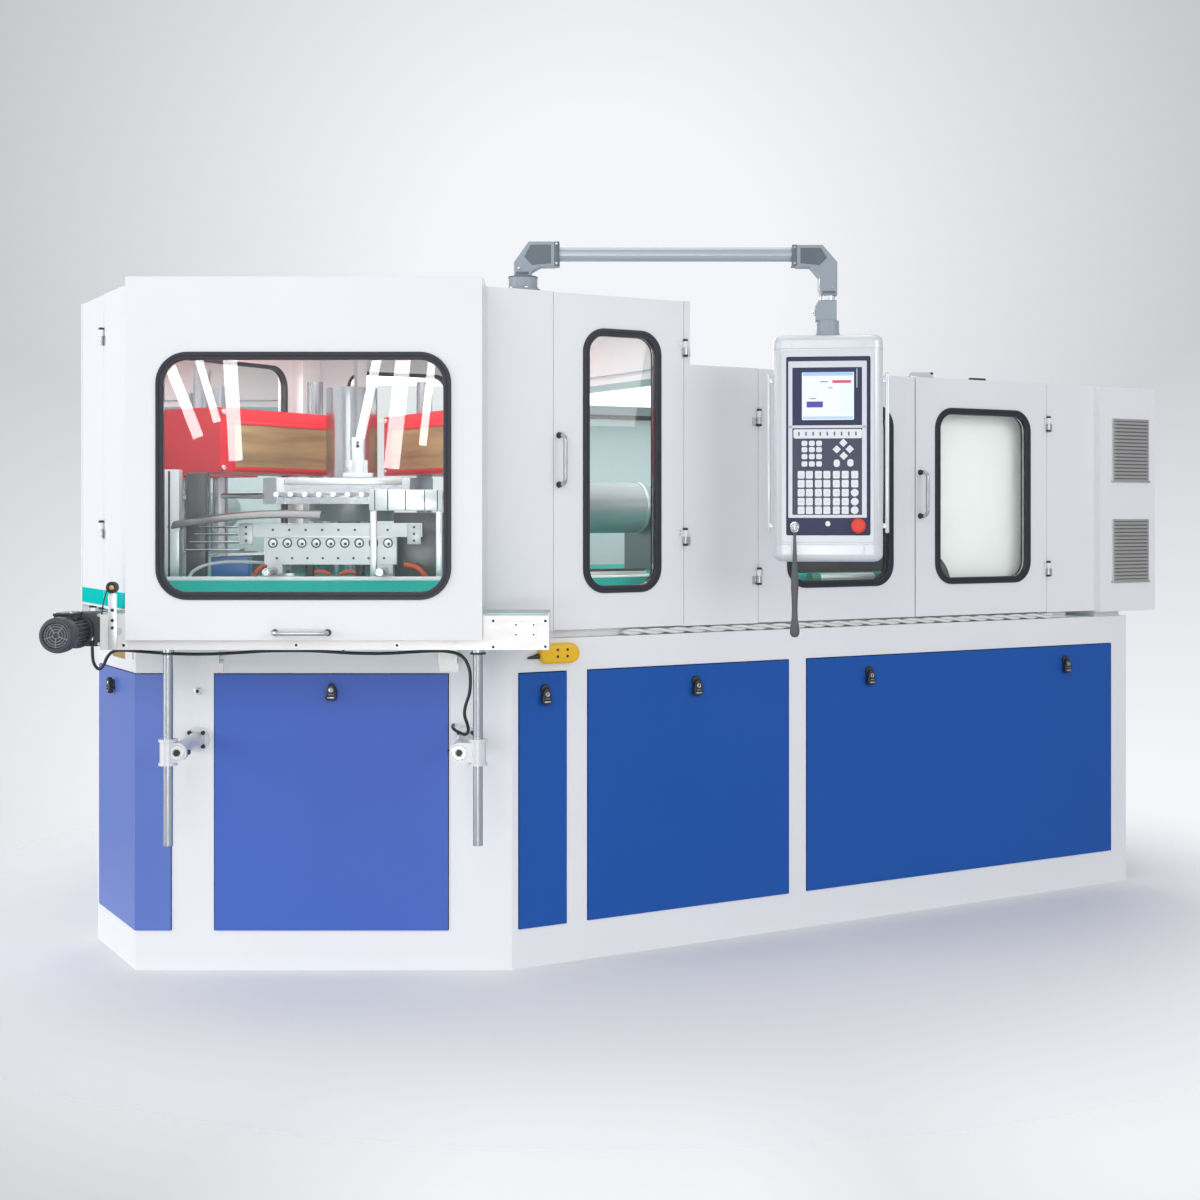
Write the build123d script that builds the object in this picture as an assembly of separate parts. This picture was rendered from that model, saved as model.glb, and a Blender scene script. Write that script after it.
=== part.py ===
from build123d import *
import os
from math import cos, sin, tan, radians, pi

os.makedirs("parts", exist_ok=True)

# Injection blow moulding machine, millimetres.
# Origin: centre of the base's footprint on the floor. +X runs along the machine to its injection end,
# the long operator side faces -Y, +Z is up. The left end is cut back on both sides by slanted faces:
# bottles leave through the slanted face beside the operator side, the ejection face.

# Base cabinet
right_end = 1890
half_width = 842
corner_x = -850
face_length = 1200
face_turn = 30
base_height = 1052
plinth_height = 127
deck_thickness = 105
post_depth = 60
panel_gap = 3
panel_proud = 4
panel_thickness = 22

# Blue panels: spans along the ejection face, measured from its corner, and along the long side
ejection_post_width = 201
corner_strip = 115
left_strip = 249
end_strip = 28
small_panel_span = (-828, -650)
middle_panel_span = (-575, 239)
large_panel_span = (312, 1807)
end_panel_inset = 62
end_panel_half = half_width - end_panel_inset

# Guard cabin
cabin_height = 1123
tall_height = base_height + cabin_height
roof_step = 215
low_height = tall_height - roof_step
guard_gap = 25
guard_bottom = base_height + guard_gap
end_guard_gap = 94
end_guard_bottom = base_height + end_guard_gap
guard_thickness = 28
roof_thickness = 30
overhang = 50
cabin_post = 40
corner_guard_width = 150
rear_lap = 90
rear_corner_lap = 10
tall_right = -174
cabinet_lap = 174
low_right = right_end - cabinet_lap
door_gap = 2

# Doors along the long side: from, to
side_door_span = (-701, -198)
middle_door_span = (106, 808)
right_fixed_width = 252
right_door_span = (middle_door_span[1] + door_gap, low_right - right_fixed_width)
end_hinge_y = -40
end_door_reach = 13

# Windows: outer edge of the rubber profile
side_window_borders = (111, 92)
middle_window_borders = (124, 103)
right_window_borders = (93, 88)
blow_window_start = 169
blow_window_to_end = 137
rear_window_span = (-760, -280)
window_rise = 143
window_bottom = base_height + window_rise
window_to_roof = 110
tall_window_top = tall_height - window_to_roof
low_window_top = low_height - window_to_roof
rear_window_to_roof = 130
rear_window_top = tall_height - rear_window_to_roof
rubber_width = 24
rubber_lip = 10
rubber_proud = 6
glass_thickness = 5
window_radius = 80

# Ejection hood
hood_start = 76
hood_to_end = 45
hood_reach = 290
hood_sheet = 16
hood_gap = 21
hood_bottom = base_height + hood_gap
hood_side_gap = 116
hood_side_bottom = base_height + hood_side_gap
hood_window_border = 92.5
hood_window_to_roof = 230
hood_window_top = tall_height - hood_window_to_roof
hood_window_radius = 95
hood_latch_gap = 6

# Handles and hinges
handle_length = 160
handle_standoff = 42
handle_radius = 7
handle_inset = 22
side_handle_rise = 578
right_handle_rise = 476
hood_handle_along = face_length / 2 + handle_inset
hinge_height = 57
side_hinge_insets = (301, 160)
middle_hinge_insets = (163, 171)
right_hinge_insets = (168, 158)
end_hinge_insets = (258, 140)
hood_hinge_length = 30
hood_hinge_inset = 125
hinge_radius = 8
pin_radius = 4.5
pin_clearance = 0.05
hinge_proud = 9
leaf_thickness = 3
leaf_width = 24

# Latches
latch_radius = 17
latch_shaft = 8
latch_length = 52
latch_drop = 162
latch_height = base_height - latch_drop
latch_thickness = 8
latch_wing_thickness = 14
latch_wing_half = 13
latch_clearance = 0.3
latch_nut = 9
ejection_latch_shift = 26
ejection_latch_along = face_length / 2 - ejection_latch_shift
end_latch_y = 16
latch_spots = {"latch_small": -734, "latch_middle": -154,
               "latch_large_left": 589, "latch_large_right": 1554}

# Yellow sensor box on the deck's edge
cable_box_span = (-760, -616)
cable_box_drop = 79
cable_box_bottom = base_height - cable_box_drop
cable_box_height = 64
cable_box_proud = 30
cable_box_radius = 31

# Electrical cabinet
cabinet_width = 304
cabinet_span = (low_right, low_right + cabinet_width)
cabinet_proud = 30
cabinet_depth = 500
cabinet_bottom = base_height + hood_gap
cabinet_step = 5
cabinet_top = low_height - cabinet_step
cabinet_foot_inset = 20
louvre_width = 200
louvre_height = 246
louvre_offset = 14
louvre_top_inset = 247
louvre_bottom_inset = 239
louvre_border = 10
louvre_count = 15
louvre_base = 3
louvre_depth = 7

# Conveyor, in the ejection face's own directions: along from the corner, outward from the face
conveyor_start = -126
conveyor_past_end = 37
conveyor_inner = 60
conveyor_outer = 268
rail_thickness = 8
rail_sink = 10
rail_height = 112
rail_bottom = base_height - rail_sink
rail_top = rail_bottom + rail_height
roller_radius = 38
roller_shaft = 12
belt_thickness = 3
belt_clearance = 0.3
shaft_clearance = 0.05
roller_inset = 55
belt_side_gap = 4
slider_thickness = 4
cross_bar_width = 40
cross_bar_height = 10
cross_bar_inset = 200
bracket_width = 60
bracket_drop = 60
bracket_plate = 6
bracket_insets = (200, 250)
bracket_spots = (bracket_insets[0], face_length - bracket_insets[1])

# Geared motor
motor_from_rail = 102
motor_radius = 54
motor_neck = 48
motor_drop = 6
motor_front = 377
cowl_length = 60
cowl_recess = 8
cowl_wall = 16
gearbox_front = 165
gearbox_back = 70
gearbox_half = 50
gearbox_height = 107
gearbox_drop = 55
gearbox_round = 20
terminal_half = 28
terminal_height = 32
terminal_length = 112

# Conveyor supports
rod_radius = 14.5
rod_out = 250
rod_insets = (91, 165)
rod_spots = (rod_insets[0], face_length - rod_insets[1])
rod_drop = 607
rod_bottom = base_height - rod_drop
clamp_insets = (147, 196)
clamp_spots = (clamp_insets[0], face_length - clamp_insets[1])
clamp_drop = 330
clamp_height = base_height - clamp_drop
flange_radius = 40
flange_thickness = 12
standoff_radius = 22
sleeve_radius = 25
sleeve_length = 80
eye_radius = 30
lug_half = 18
lug_height = 60
rod_pad_thickness = 8
rod_pad_rim = 4

# Sensor on its upright bar at the conveyor's left end
sensor_bar_width = 26
sensor_bar_thickness = 6
sensor_bar_rise = 58
sensor_head_radius = 18
sensor_head_rise = 20
sensor_head_length = 24

# Control arm and panel
arm_foot_insets = (85, 88)
arm_foot_x = corner_x + arm_foot_insets[0]
arm_foot_y = -half_width + arm_foot_insets[1]
arm_turn = 30
arm_length = 993
arm_rise = 125
arm_height = tall_height + arm_rise
tube_radius = 23
foot_radius = 56
foot_plate = 12
collar_radius = 47
collar_top = 52
elbow_width = 56
elbow_reach = 119
foot_elbow_top = 39
far_elbow_top = 28
far_elbow_drop = 135
coupling_gap = 16
coupling_height = 66
coupling_ring = 22
neck_radius = 36
panel_turn = 37
panel_width = 352
panel_depth = 150
panel_corner = 34
panel_edge = 26
panel_drop = 132
panel_height = 767
panel_top = arm_height - far_elbow_drop - panel_drop
panel_bottom = panel_top - panel_height
face_half = 135
face_insets = (120, 73)
face_bottom = panel_bottom + face_insets[0]
face_top = panel_top - face_insets[1]
face_thickness = 4
screen_half = 83
screen_drop = 122
screen_height = 154
screen_top = panel_top - screen_drop
screen_bottom = screen_top - screen_height
screen_thickness = 2
rail_offset = 14
grab_radius = 5
grab_setback = 30
grab_foot_inset = 30
grab_insets = (121, 115)
grab_bottom = panel_bottom + grab_insets[0]
grab_top = panel_top - grab_insets[1]
stop_x = 96.5
stop_rise = 151
stop_z = panel_bottom + stop_rise
stop_radius = 24
stop_height = 14
stop_stem = 11
stop_clearance = 0.3
stop_travel = 6
stop_collar_radius = 20
stop_collar_height = 4
stop_bore_depth = 40
stop_stem_depth = 20
lock_x = -106
lock_rise = 148.5
lock_z = panel_bottom + lock_rise
lock_radius = 13
lock_height = 6
lock_bore_depth = 12
key_radius = 3
key_half_thickness = 1.5
key_half_height = 11
key_length = 28
key_eye = 6
ring_radius = 11.5
ring_wire = 1.5
ring_clearance = 0.1

# Moulding stations
bed_inset = 60
bed_height = 188
bed_top = base_height + bed_height
room = tall_height - roof_thickness - bed_top
bed_right = 1500
bed_side_inset = 250
turret_radius = 0.2494 * half_width
turret_face_half = 0.2732 * half_width
turret_bottom = bed_top + 0.276 * room
turret_height = 0.1 * room
carrier_bottom = bed_top + 0.21 * room
carrier_radius = 150
face_clearance = 0.3
turret_top = turret_bottom + turret_height
column_top = bed_top + 0.73 * room
column_radius = 90
rod_tip = 0.5166 * half_width
rod_count = 9
rod_pitch = 0.0558 * half_width
core_rod_radius = 9
core_rod_height = 30
station_distance = 0.4988 * half_width
tie_bar_offset = 0.3682 * half_width
tie_bar_radius = 30
tie_bar_top = bed_top + 0.795 * room
bolster_height = 70
platen_width = 0.8789 * half_width
platen_depth = 0.3325 * half_width
platen_bottom = bed_top + 0.398 * room
platen_top = bed_top + 0.645 * room
stripper_setback = 150
stripper_width = 600
stripper_comb_share = 0.72
stripper_gap = 50
stripper_height = 135
stripper_bottom = bed_top + stripper_gap
stripper_top = stripper_bottom + stripper_height
comb_half = 14
grip_half = 18
grip_height = 45
comb_hole = 12
comb_hole_drop = 65
guide_spacing = 180
guide_drop = 20
guide_radius = 12
boss_half = 25
boss_drop = 22
stand_half = 20
stand_rise = 18
guide_span = (-30, 320)
stand_spots = (190, 300)
barrel_radius = 85
barrel_height = bed_top + 0.265 * room
barrel_span = (-420, 1450)
saddle_spots = (200, 900)
saddle_half = 60
saddle_half_width = 120

turn_cos = cos(radians(face_turn))
turn_sin = sin(radians(face_turn))
end_x = corner_x - face_length * turn_cos
end_half = half_width - face_length * turn_sin
ejection_panel_span = (ejection_post_width, face_length - left_strip)
blow_window_span = (blow_window_start, face_length - blow_window_to_end)
corner_panel_start = face_length - corner_strip
corner_panel_end_y = end_half - end_strip
end_door_span = (end_hinge_y, end_half + end_door_reach)


def inset(span, borders):
    return span[0] + borders[0], span[1] - borders[1]


side_window_span = inset(side_door_span, side_window_borders)
middle_window_span = inset(middle_door_span, middle_window_borders)
right_window_span = inset(right_door_span, right_window_borders)
hood_span = (hood_start, face_length - hood_to_end)
hood_window_span = (hood_span[0] + hood_window_border, hood_span[1] - hood_window_border)
conveyor_span = (conveyor_start, face_length + conveyor_past_end)
motor_along = conveyor_span[1] + motor_from_rail
face_middle = face_length / 2
turret_depth = (half_width - face_middle * turn_sin) / turn_cos
turret_x = corner_x - face_middle * turn_cos + turret_depth * turn_sin
ejection_frame = Location((corner_x, -half_width, 0), (0, 0, -face_turn))
end_frame = Location((end_x, 0, 0), (0, 0, -90))
panel_face_y = -half_width - panel_proud
guard_back = -half_width + guard_thickness


def on_face(along, outward):
    """Plan point on the ejection face: distance from its corner, distance outward."""
    x = corner_x - along * turn_cos - outward * turn_sin
    y = -half_width + along * turn_sin - outward * turn_cos
    return x, y


def front_corner(outward, inset):
    """Corner of the ejection side and the long side, moved outward and set back."""
    along = (inset + outward * turn_cos) / turn_sin
    return on_face(along, outward)


def left_corner(outward):
    """Corner of the ejection side and the end face, moved outward."""
    x = end_x - outward
    along = (corner_x - turn_sin * outward - x) / turn_cos
    return on_face(along, outward)


def block(x0, x1, y0, y1, z0, z1):
    corner = (Align.MIN, Align.MIN, Align.MIN)
    return Pos(x0, y0, z0) * Box(x1 - x0, y1 - y0, z1 - z0, align=corner)


def prism(points, z0, z1):
    outline = make_face(Polyline(*points, close=True))
    return Pos(0, 0, z0) * extrude(outline, amount=z1 - z0, dir=(0, 0, 1))


def mirrored(shape):
    return mirror(shape, about=Plane.XZ)


def save(node, *pieces):
    solids = [solid for piece in pieces for solid in piece.solids()]
    shape = solids[0] if len(solids) == 1 else Compound(solids)
    export_step(shape, "parts/" + node + ".step")


def rod(x, y, z0, z1, radius):
    bottom = (Align.CENTER, Align.CENTER, Align.MIN)
    return Pos(x, y, z0) * Cylinder(radius, z1 - z0, align=bottom)


def cross_rod(x, z, y0, y1, radius):
    """Round bar along Y, from y0 to y1."""
    return Pos(x, (y0 + y1) / 2, z) * Rot(90, 0, 0) * Cylinder(radius, y1 - y0)


def along_rod(x0, x1, y, z, radius):
    """Round bar along X."""
    return Pos((x0 + x1) / 2, y, z) * Rot(0, 90, 0) * Cylinder(radius, x1 - x0)


def rounded_plate(x0, x1, z0, z1, radius, front, back):
    """Upright plate with round corners, from y = front to y = back."""
    sketch = RectangleRounded(x1 - x0, z1 - z0, radius)
    plate = extrude(Plane.XZ * sketch, amount=back - front)
    return Pos((x0 + x1) / 2, back, (z0 + z1) / 2) * plate


def window_opening(x0, x1, z0, z1, radius, front, back):
    cut = rubber_lip
    return rounded_plate(x0 + cut, x1 - cut, z0 + cut, z1 - cut, radius - cut, front - 1, back + 1)


def window(x0, x1, z0, z1, radius, front, back):
    """Rubber profile that clips round a plate's opening, and the pane that it holds."""
    lip = rounded_plate(x0, x1, z0, z1, radius, front - rubber_proud, front)
    cut = rubber_lip
    core = rounded_plate(x0 + cut, x1 - cut, z0 + cut, z1 - cut, radius - cut, front, back)
    w = rubber_width
    hole = rounded_plate(x0 + w, x1 - w, z0 + w, z1 - w, radius - w, front - rubber_proud - 1, back + 1)
    middle = (front + back) / 2
    pane_front = middle - glass_thickness / 2
    pane_back = pane_front + glass_thickness
    pane = rounded_plate(x0 + w, x1 - w, z0 + w, z1 - w, radius - w, pane_front, pane_back)
    return lip + core - hole, pane


def handle(x, z, front, upright):
    """Bent round bar with two feet on a plate."""
    y = front - handle_standoff
    half = handle_length / 2
    bend = 3 * handle_radius
    if upright:
        ends = [(x, front, z - half), (x, y, z - half), (x, y, z + half), (x, front, z + half)]
    else:
        ends = [(x - half, front, z), (x - half, y, z), (x + half, y, z), (x + half, front, z)]
    path = FilletPolyline(*ends, radius=bend)
    section = Plane(origin=ends[0], z_dir=(0, -1, 0)) * Circle(handle_radius)
    return sweep(section, path=path)


def hinge_fixed(x, z, side, front):
    """Lower knuckle with its pin, and the leaf screwed to the frame on the given side."""
    y = front - hinge_proud
    half = hinge_height / 2
    knuckle = rod(x, y, z - half, z, hinge_radius)
    pin = rod(x, y, z - half, z + half - 2, pin_radius)
    x0, x1 = sorted((x, x + side * leaf_width))
    leaf = block(x0, x1, front - leaf_thickness, front, z - half, z)
    web_half = hinge_radius * 0.6
    if side > 0:
        web = block(x, x + web_half, y, front, z - half, z)
    else:
        web = block(x - web_half, x, y, front, z - half, z)
    return knuckle + pin + leaf + web


def hinge_moving(x, z, side, front):
    """Upper knuckle of the door, bored for the pin, with its leaf."""
    y = front - hinge_proud
    half = hinge_height / 2
    low = z + door_gap / 2
    knuckle = rod(x, y, low, z + half, hinge_radius)
    x0, x1 = sorted((x + side * door_gap, x + side * leaf_width))
    leaf = block(x0, x1, front - leaf_thickness, front, low, z + half)
    web_half = hinge_radius * 0.6
    x2, x3 = sorted((x + side * door_gap, x + side * web_half))
    web = block(x2, x3, y, front, low, z + half)
    bore = rod(x, y, low - 1, z + half + 1, pin_radius + pin_clearance)
    return knuckle + leaf + web - bore


# Base cabinet: plinth, deck and the posts between the blue panels
def base_plan(outward=0):
    p0 = front_corner(outward, 0)
    p1 = left_corner(outward)
    front = [(right_end, -half_width), p0, p1]
    back = [(x, -y) for x, y in reversed(front)]
    return front + back


deck_bottom = base_height - deck_thickness
save("base_plinth", prism(base_plan(), 0, plinth_height))
save("base_deck", prism(base_plan(), deck_bottom, base_height))

post_back = -half_width + post_depth
posts = []
front_post = prism(
    [(small_panel_span[0], -half_width), (corner_x, -half_width), on_face(ejection_panel_span[0], 0),
     on_face(ejection_panel_span[0], -post_depth), (small_panel_span[0], post_back)],
    plinth_height, deck_bottom)
ejection_post = ejection_frame * block(
    -corner_panel_start, -ejection_panel_span[1], 0, post_depth, plinth_height, deck_bottom)
rear_left_post = mirrored(prism(
    [(end_x, -corner_panel_end_y), (end_x, -end_half), on_face(ejection_panel_span[1], 0),
     on_face(ejection_panel_span[1], -post_depth), (end_x + post_depth, -corner_panel_end_y)],
    plinth_height, deck_bottom))
posts += [front_post, mirrored(front_post), ejection_post, rear_left_post]
gaps = [(small_panel_span[1], middle_panel_span[0]), (middle_panel_span[1], large_panel_span[0]),
        (large_panel_span[1], right_end)]
for x0, x1 in gaps:
    post = block(x0, x1, -half_width, post_back, plinth_height, deck_bottom)
    posts += [post, mirrored(post)]
save("base_posts", *posts)

# Blue lift-off panels
low = plinth_height
high = deck_bottom - panel_gap
g = panel_gap
ejection_panel = ejection_frame * block(
    -ejection_panel_span[1] + g, -ejection_panel_span[0] - g,
    -panel_proud, panel_thickness - panel_proud, low, high)
inner = panel_proud - panel_thickness
corner_panel = prism(
    [on_face(corner_panel_start + g, panel_proud), left_corner(panel_proud),
     (end_x - panel_proud, corner_panel_end_y - g), (end_x - inner, corner_panel_end_y - g),
     left_corner(inner), on_face(corner_panel_start + g, inner)], low, high)
side_panels = []
for x0, x1 in (small_panel_span, middle_panel_span, large_panel_span):
    panel = block(x0 + g, x1 - g, panel_face_y, panel_face_y + panel_thickness, low, high)
    side_panels += [panel, mirrored(panel)]
end_panel = block(right_end - panel_thickness, right_end, -end_panel_half, end_panel_half, low, high)

# Quarter-turn latches: escutcheon, wing, shaft through the panel and a nut behind it
def latch(x, front, back):
    cover = cross_rod(x, latch_height, front - latch_thickness, front, latch_radius)
    root = latch_wing_half * 0.7
    wing = prism([(-root, 0), (root, 0), (latch_wing_half, latch_length), (-latch_wing_half, latch_length)],
                 0, latch_wing_thickness)
    wing = Pos(x, front - latch_thickness, latch_height) * Rot(90, 0, 0) * Rot(0, 0, 180) * wing
    shaft = cross_rod(x, latch_height, front, back + latch_nut / 2, latch_shaft)
    nut = cross_rod(x, latch_height, back + latch_clearance, back + latch_nut, latch_radius)
    return cover + wing + shaft + nut


def latch_hole(x):
    bore = latch_shaft + latch_clearance
    return cross_rod(x, latch_height, panel_face_y - 1, panel_face_y + panel_thickness + 1, bore)


panel_back_y = panel_face_y + panel_thickness
for node, x in latch_spots.items():
    save(node, latch(x, panel_face_y - latch_clearance, panel_back_y))
bored = []
for panel in side_panels:
    for x in latch_spots.values():
        box = panel.bounding_box()
        if panel.center().Y < 0 and box.min.X < x < box.max.X:
            panel = panel - latch_hole(x)
    bored.append(panel)
save("side_panels", *bored, end_panel)
local_face = -panel_proud
local_back = panel_thickness - panel_proud
latch_face = local_face - latch_clearance
save("latch_ejection", ejection_frame * latch(-ejection_latch_along, latch_face, local_back))
save("latch_end", end_frame * latch(-end_latch_y, latch_face, local_back))


def local_hole(x):
    return cross_rod(x, latch_height, local_face - 1, local_back + 1, latch_shaft + latch_clearance)


bored_panel = ejection_panel - ejection_frame * local_hole(-ejection_latch_along)
save("ejection_panels", bored_panel, mirrored(ejection_panel))
save("corner_panel", corner_panel - end_frame * local_hole(-end_latch_y))

save("cable_box", rounded_plate(*cable_box_span, cable_box_bottom, cable_box_bottom + cable_box_height,
                                cable_box_radius, -half_width - cable_box_proud, -half_width))

# Guard cabin: fixed panels, roofs and inner posts
inner_offset = overhang - guard_thickness
tall_roof_bottom = tall_height - roof_thickness
low_roof_bottom = low_height - roof_thickness
front_y = -half_width
corner_guard = prism(
    [(side_door_span[0], front_y), front_corner(overhang, 0), on_face(corner_guard_width, overhang),
     on_face(corner_guard_width, inner_offset), front_corner(inner_offset, guard_thickness),
     (side_door_span[0], guard_back)], guard_bottom, tall_height)
left_start = hood_span[1] + hood_latch_gap
left_guard = prism(
    [on_face(left_start, overhang), left_corner(overhang), (end_x - overhang, end_hinge_y),
     (end_x - inner_offset, end_hinge_y), left_corner(inner_offset), on_face(left_start, inner_offset)],
    end_guard_bottom, tall_height)
frame_strip = block(side_door_span[1], tall_right, front_y, guard_back, guard_bottom, tall_height)
left_fixed = block(tall_right, middle_door_span[0], front_y, guard_back, guard_bottom, low_height)
right_fixed = block(right_door_span[1], low_right, front_y, guard_back, guard_bottom, low_height)
roof_corner = front_corner(inner_offset, guard_thickness)
roof_plan = [(tall_right, guard_back), roof_corner, left_corner(inner_offset)]
roof_plan += [(x, -y) for x, y in reversed(roof_plan)]
tall_roof = prism(roof_plan, tall_roof_bottom, tall_height)
low_roof = block(tall_right, low_right, guard_back, -guard_back, low_roof_bottom, low_height)
header = block(tall_right - guard_thickness, tall_right, guard_back, -guard_back, low_height,
               tall_roof_bottom)
save("guard_panels", corner_guard, left_guard, frame_strip, left_fixed, right_fixed, tall_roof, low_roof,
     header)

rear_start = face_length - rear_corner_lap
blow_wall = mirrored(ejection_frame * (
    block(-rear_start, -rear_lap, -overhang, -inner_offset, guard_bottom, tall_height)
    - window_opening(-blow_window_span[1], -blow_window_span[0], window_bottom, rear_window_top,
                     hood_window_radius, -overhang, -inner_offset)))
rear_tall = (block(corner_x - rear_lap, tall_right, -half_width, guard_back, guard_bottom, tall_height)
             - window_opening(*rear_window_span, window_bottom, rear_window_top, window_radius,
                              -half_width, guard_back))
rear_low = block(tall_right, low_right, -half_width, guard_back, guard_bottom, low_height)
rear_tall = mirrored(rear_tall)
rear_low = mirrored(rear_low)
end_wall = block(low_right - guard_thickness, low_right, guard_back, -guard_back, guard_bottom,
                 low_roof_bottom)
rear_edge_y = -end_door_span[1] - door_gap
rear_corner = mirrored(prism(
    [on_face(rear_start, overhang), left_corner(overhang), (end_x - overhang, rear_edge_y),
     front_corner(inner_offset, half_width + rear_edge_y), on_face(rear_start, inner_offset)],
    guard_bottom, tall_height))
save("rear_walls", blow_wall, rear_tall, rear_low, end_wall, rear_corner)
blow_rubber, blow_pane = window(-blow_window_span[1], -blow_window_span[0], window_bottom, rear_window_top,
                                hood_window_radius, -overhang, -inner_offset)
tall_rubber, tall_pane = window(*rear_window_span, window_bottom, rear_window_top, window_radius,
                                -half_width, guard_back)
save("rear_windows", *[mirrored(ejection_frame * shape) for shape in (blow_rubber, blow_pane)],
     mirrored(tall_rubber), mirrored(tall_pane))

cabin_posts = []


def front_post_at(x, top):
    half = cabin_post / 2
    post = block(x - half, x + half, guard_back, guard_back + cabin_post, base_height, top)
    return [post, mirrored(post)]


cabin_posts += front_post_at(side_door_span[0], tall_roof_bottom)
cabin_posts += front_post_at(side_door_span[1] + door_gap, low_roof_bottom)
cabin_posts += front_post_at(middle_door_span[0], low_roof_bottom)
cabin_posts += front_post_at((middle_door_span[1] + right_door_span[0]) / 2, low_roof_bottom)
cabin_posts += front_post_at(right_door_span[1], low_roof_bottom)
post_depth_in = cabin_post * 0.75
corner_post_x = corner_x - post_depth_in
corner_post = prism(
    [(corner_post_x, guard_back), front_corner(inner_offset, guard_thickness),
     on_face(corner_guard_width, inner_offset), on_face(corner_guard_width, -post_depth_in),
     (corner_post_x, guard_back + cabin_post)], base_height, tall_roof_bottom)
left_post_y = -end_half + end_door_reach + cabin_post
left_post = prism(
    [on_face(left_start, inner_offset), left_corner(inner_offset), (end_x - inner_offset, left_post_y),
     (end_x + cabin_post, left_post_y), on_face(left_start, -post_depth_in)], base_height, tall_roof_bottom)
hinge_post = block(end_x - inner_offset, end_x + cabin_post - inner_offset, end_hinge_y - post_depth_in,
                   end_hinge_y + cabin_post - post_depth_in, base_height, tall_roof_bottom)
cabin_posts += [corner_post, mirrored(corner_post), left_post, mirrored(left_post), hinge_post]
save("cabin_posts", *cabin_posts)

# Electrical cabinet with two louvred vents
cabinet_front = -half_width - cabinet_proud
cabinet = block(*cabinet_span, cabinet_front, cabinet_front + cabinet_depth, cabinet_bottom, cabinet_top)
foot = block(cabinet_span[0] + cabinet_foot_inset, right_end - cabinet_foot_inset,
             -half_width + cabinet_foot_inset, cabinet_front + cabinet_depth - cabinet_foot_inset,
             base_height, cabinet_bottom)
save("electrical_cabinet", cabinet + foot)
vent_x = (cabinet_span[0] + cabinet_span[1]) / 2 + louvre_offset


def louvre(x, z):
    half = louvre_height / 2
    pitch = (louvre_height - 2 * louvre_border) / louvre_count
    profile = [(0, -half), (louvre_base, -half)]
    for i in range(louvre_count):
        low_edge = louvre_border - half + i * pitch
        profile += [(louvre_base, low_edge + pitch * 0.25), (louvre_depth, low_edge + pitch * 0.3),
                    (louvre_base, low_edge + pitch * 0.95)]
    profile += [(louvre_base, half), (0, half)]
    side = make_face(Polyline(*profile, close=True))
    left = x - louvre_width / 2
    vent = Plane(origin=(left, cabinet_front, z), x_dir=(0, -1, 0), z_dir=(-1, 0, 0)) * side
    return extrude(vent, amount=louvre_width, dir=(1, 0, 0))


save("louvre_panels", louvre(vent_x, cabinet_top - louvre_top_inset),
     louvre(vent_x, cabinet_bottom + louvre_bottom_inset))

# Hinge halves fixed to the cabin
def hinge_heights(bottom, top, insets):
    return bottom + insets[0], top - insets[1]


hinges = []
side_hinges = hinge_heights(guard_bottom, tall_height, side_hinge_insets)
middle_hinges = hinge_heights(guard_bottom, low_height, middle_hinge_insets)
right_hinges = hinge_heights(guard_bottom, low_height, right_hinge_insets)
end_hinges = hinge_heights(end_guard_bottom, tall_height, end_hinge_insets)
hinges += [hinge_fixed(side_door_span[1], z, 1, front_y) for z in side_hinges]
hinges += [hinge_fixed(middle_door_span[0], z, -1, front_y) for z in middle_hinges]
hinges += [hinge_fixed(right_door_span[1], z, 1, front_y) for z in right_hinges]
hinges += [end_frame * hinge_fixed(-end_door_span[0], z, 1, -overhang) for z in end_hinges]
hood_axis_z = tall_height + hinge_proud
hood_hinge_spots = (hood_span[0] + hood_hinge_inset - 1, hood_span[1] - hood_hinge_inset)
half_knuckle = hood_hinge_length
for along in hood_hinge_spots:
    pin = along_rod(-along - half_knuckle + 2, -along + half_knuckle, -overhang, hood_axis_z, pin_radius)
    knuckle = along_rod(-along, -along + half_knuckle, -overhang, hood_axis_z, hinge_radius)
    leaf = block(-along, -along + half_knuckle, -overhang, -overhang + 2 * leaf_width,
                 tall_height, tall_height + leaf_thickness)
    web = block(-along, -along + half_knuckle, -overhang, -overhang + hinge_radius, tall_height,
                hood_axis_z)
    hinges.append(ejection_frame * (pin + knuckle + leaf + web))
save("hinge_bodies", *hinges)

# Ejection hood: front sheet with its window, side and top returns, handle
hood_right, hood_left = hood_span
hood_top = tall_height - door_gap
hood_front = (block(-hood_left, -hood_right, -hood_reach, -hood_reach + hood_sheet, hood_bottom, hood_top)
              - window_opening(-hood_window_span[1], -hood_window_span[0], window_bottom, hood_window_top,
                               hood_window_radius, -hood_reach, -hood_reach + hood_sheet))
save("hood_front", ejection_frame * hood_front)
hood_back = -hood_reach + hood_sheet
rear_edge = -overhang - door_gap
side_top = hood_top - hood_sheet
top_return = block(-hood_left, -hood_right, hood_back, rear_edge, side_top, hood_top)
for along in hood_hinge_spots:
    x0 = -along - half_knuckle
    x1 = -along - door_gap / 2
    top_return += block(x0, x1, -overhang - leaf_width, rear_edge, hood_top, hood_top + leaf_thickness)
    top_return += block(x0, x1, -overhang - hinge_radius, rear_edge, hood_top, hood_axis_z)
    top_return += along_rod(x0, x1, -overhang, hood_axis_z, hinge_radius)
    top_return -= along_rod(x0 - 1, x1 + 1, -overhang, hood_axis_z, pin_radius + pin_clearance)
side_span = (hood_back, rear_edge, hood_side_bottom, side_top)
right_return = block(-hood_right - hood_sheet, -hood_right, *side_span)
left_return = block(-hood_left, -hood_left + hood_sheet, *side_span)
save("hood_returns", *[ejection_frame * shape for shape in (top_return, right_return, left_return)])
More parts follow.
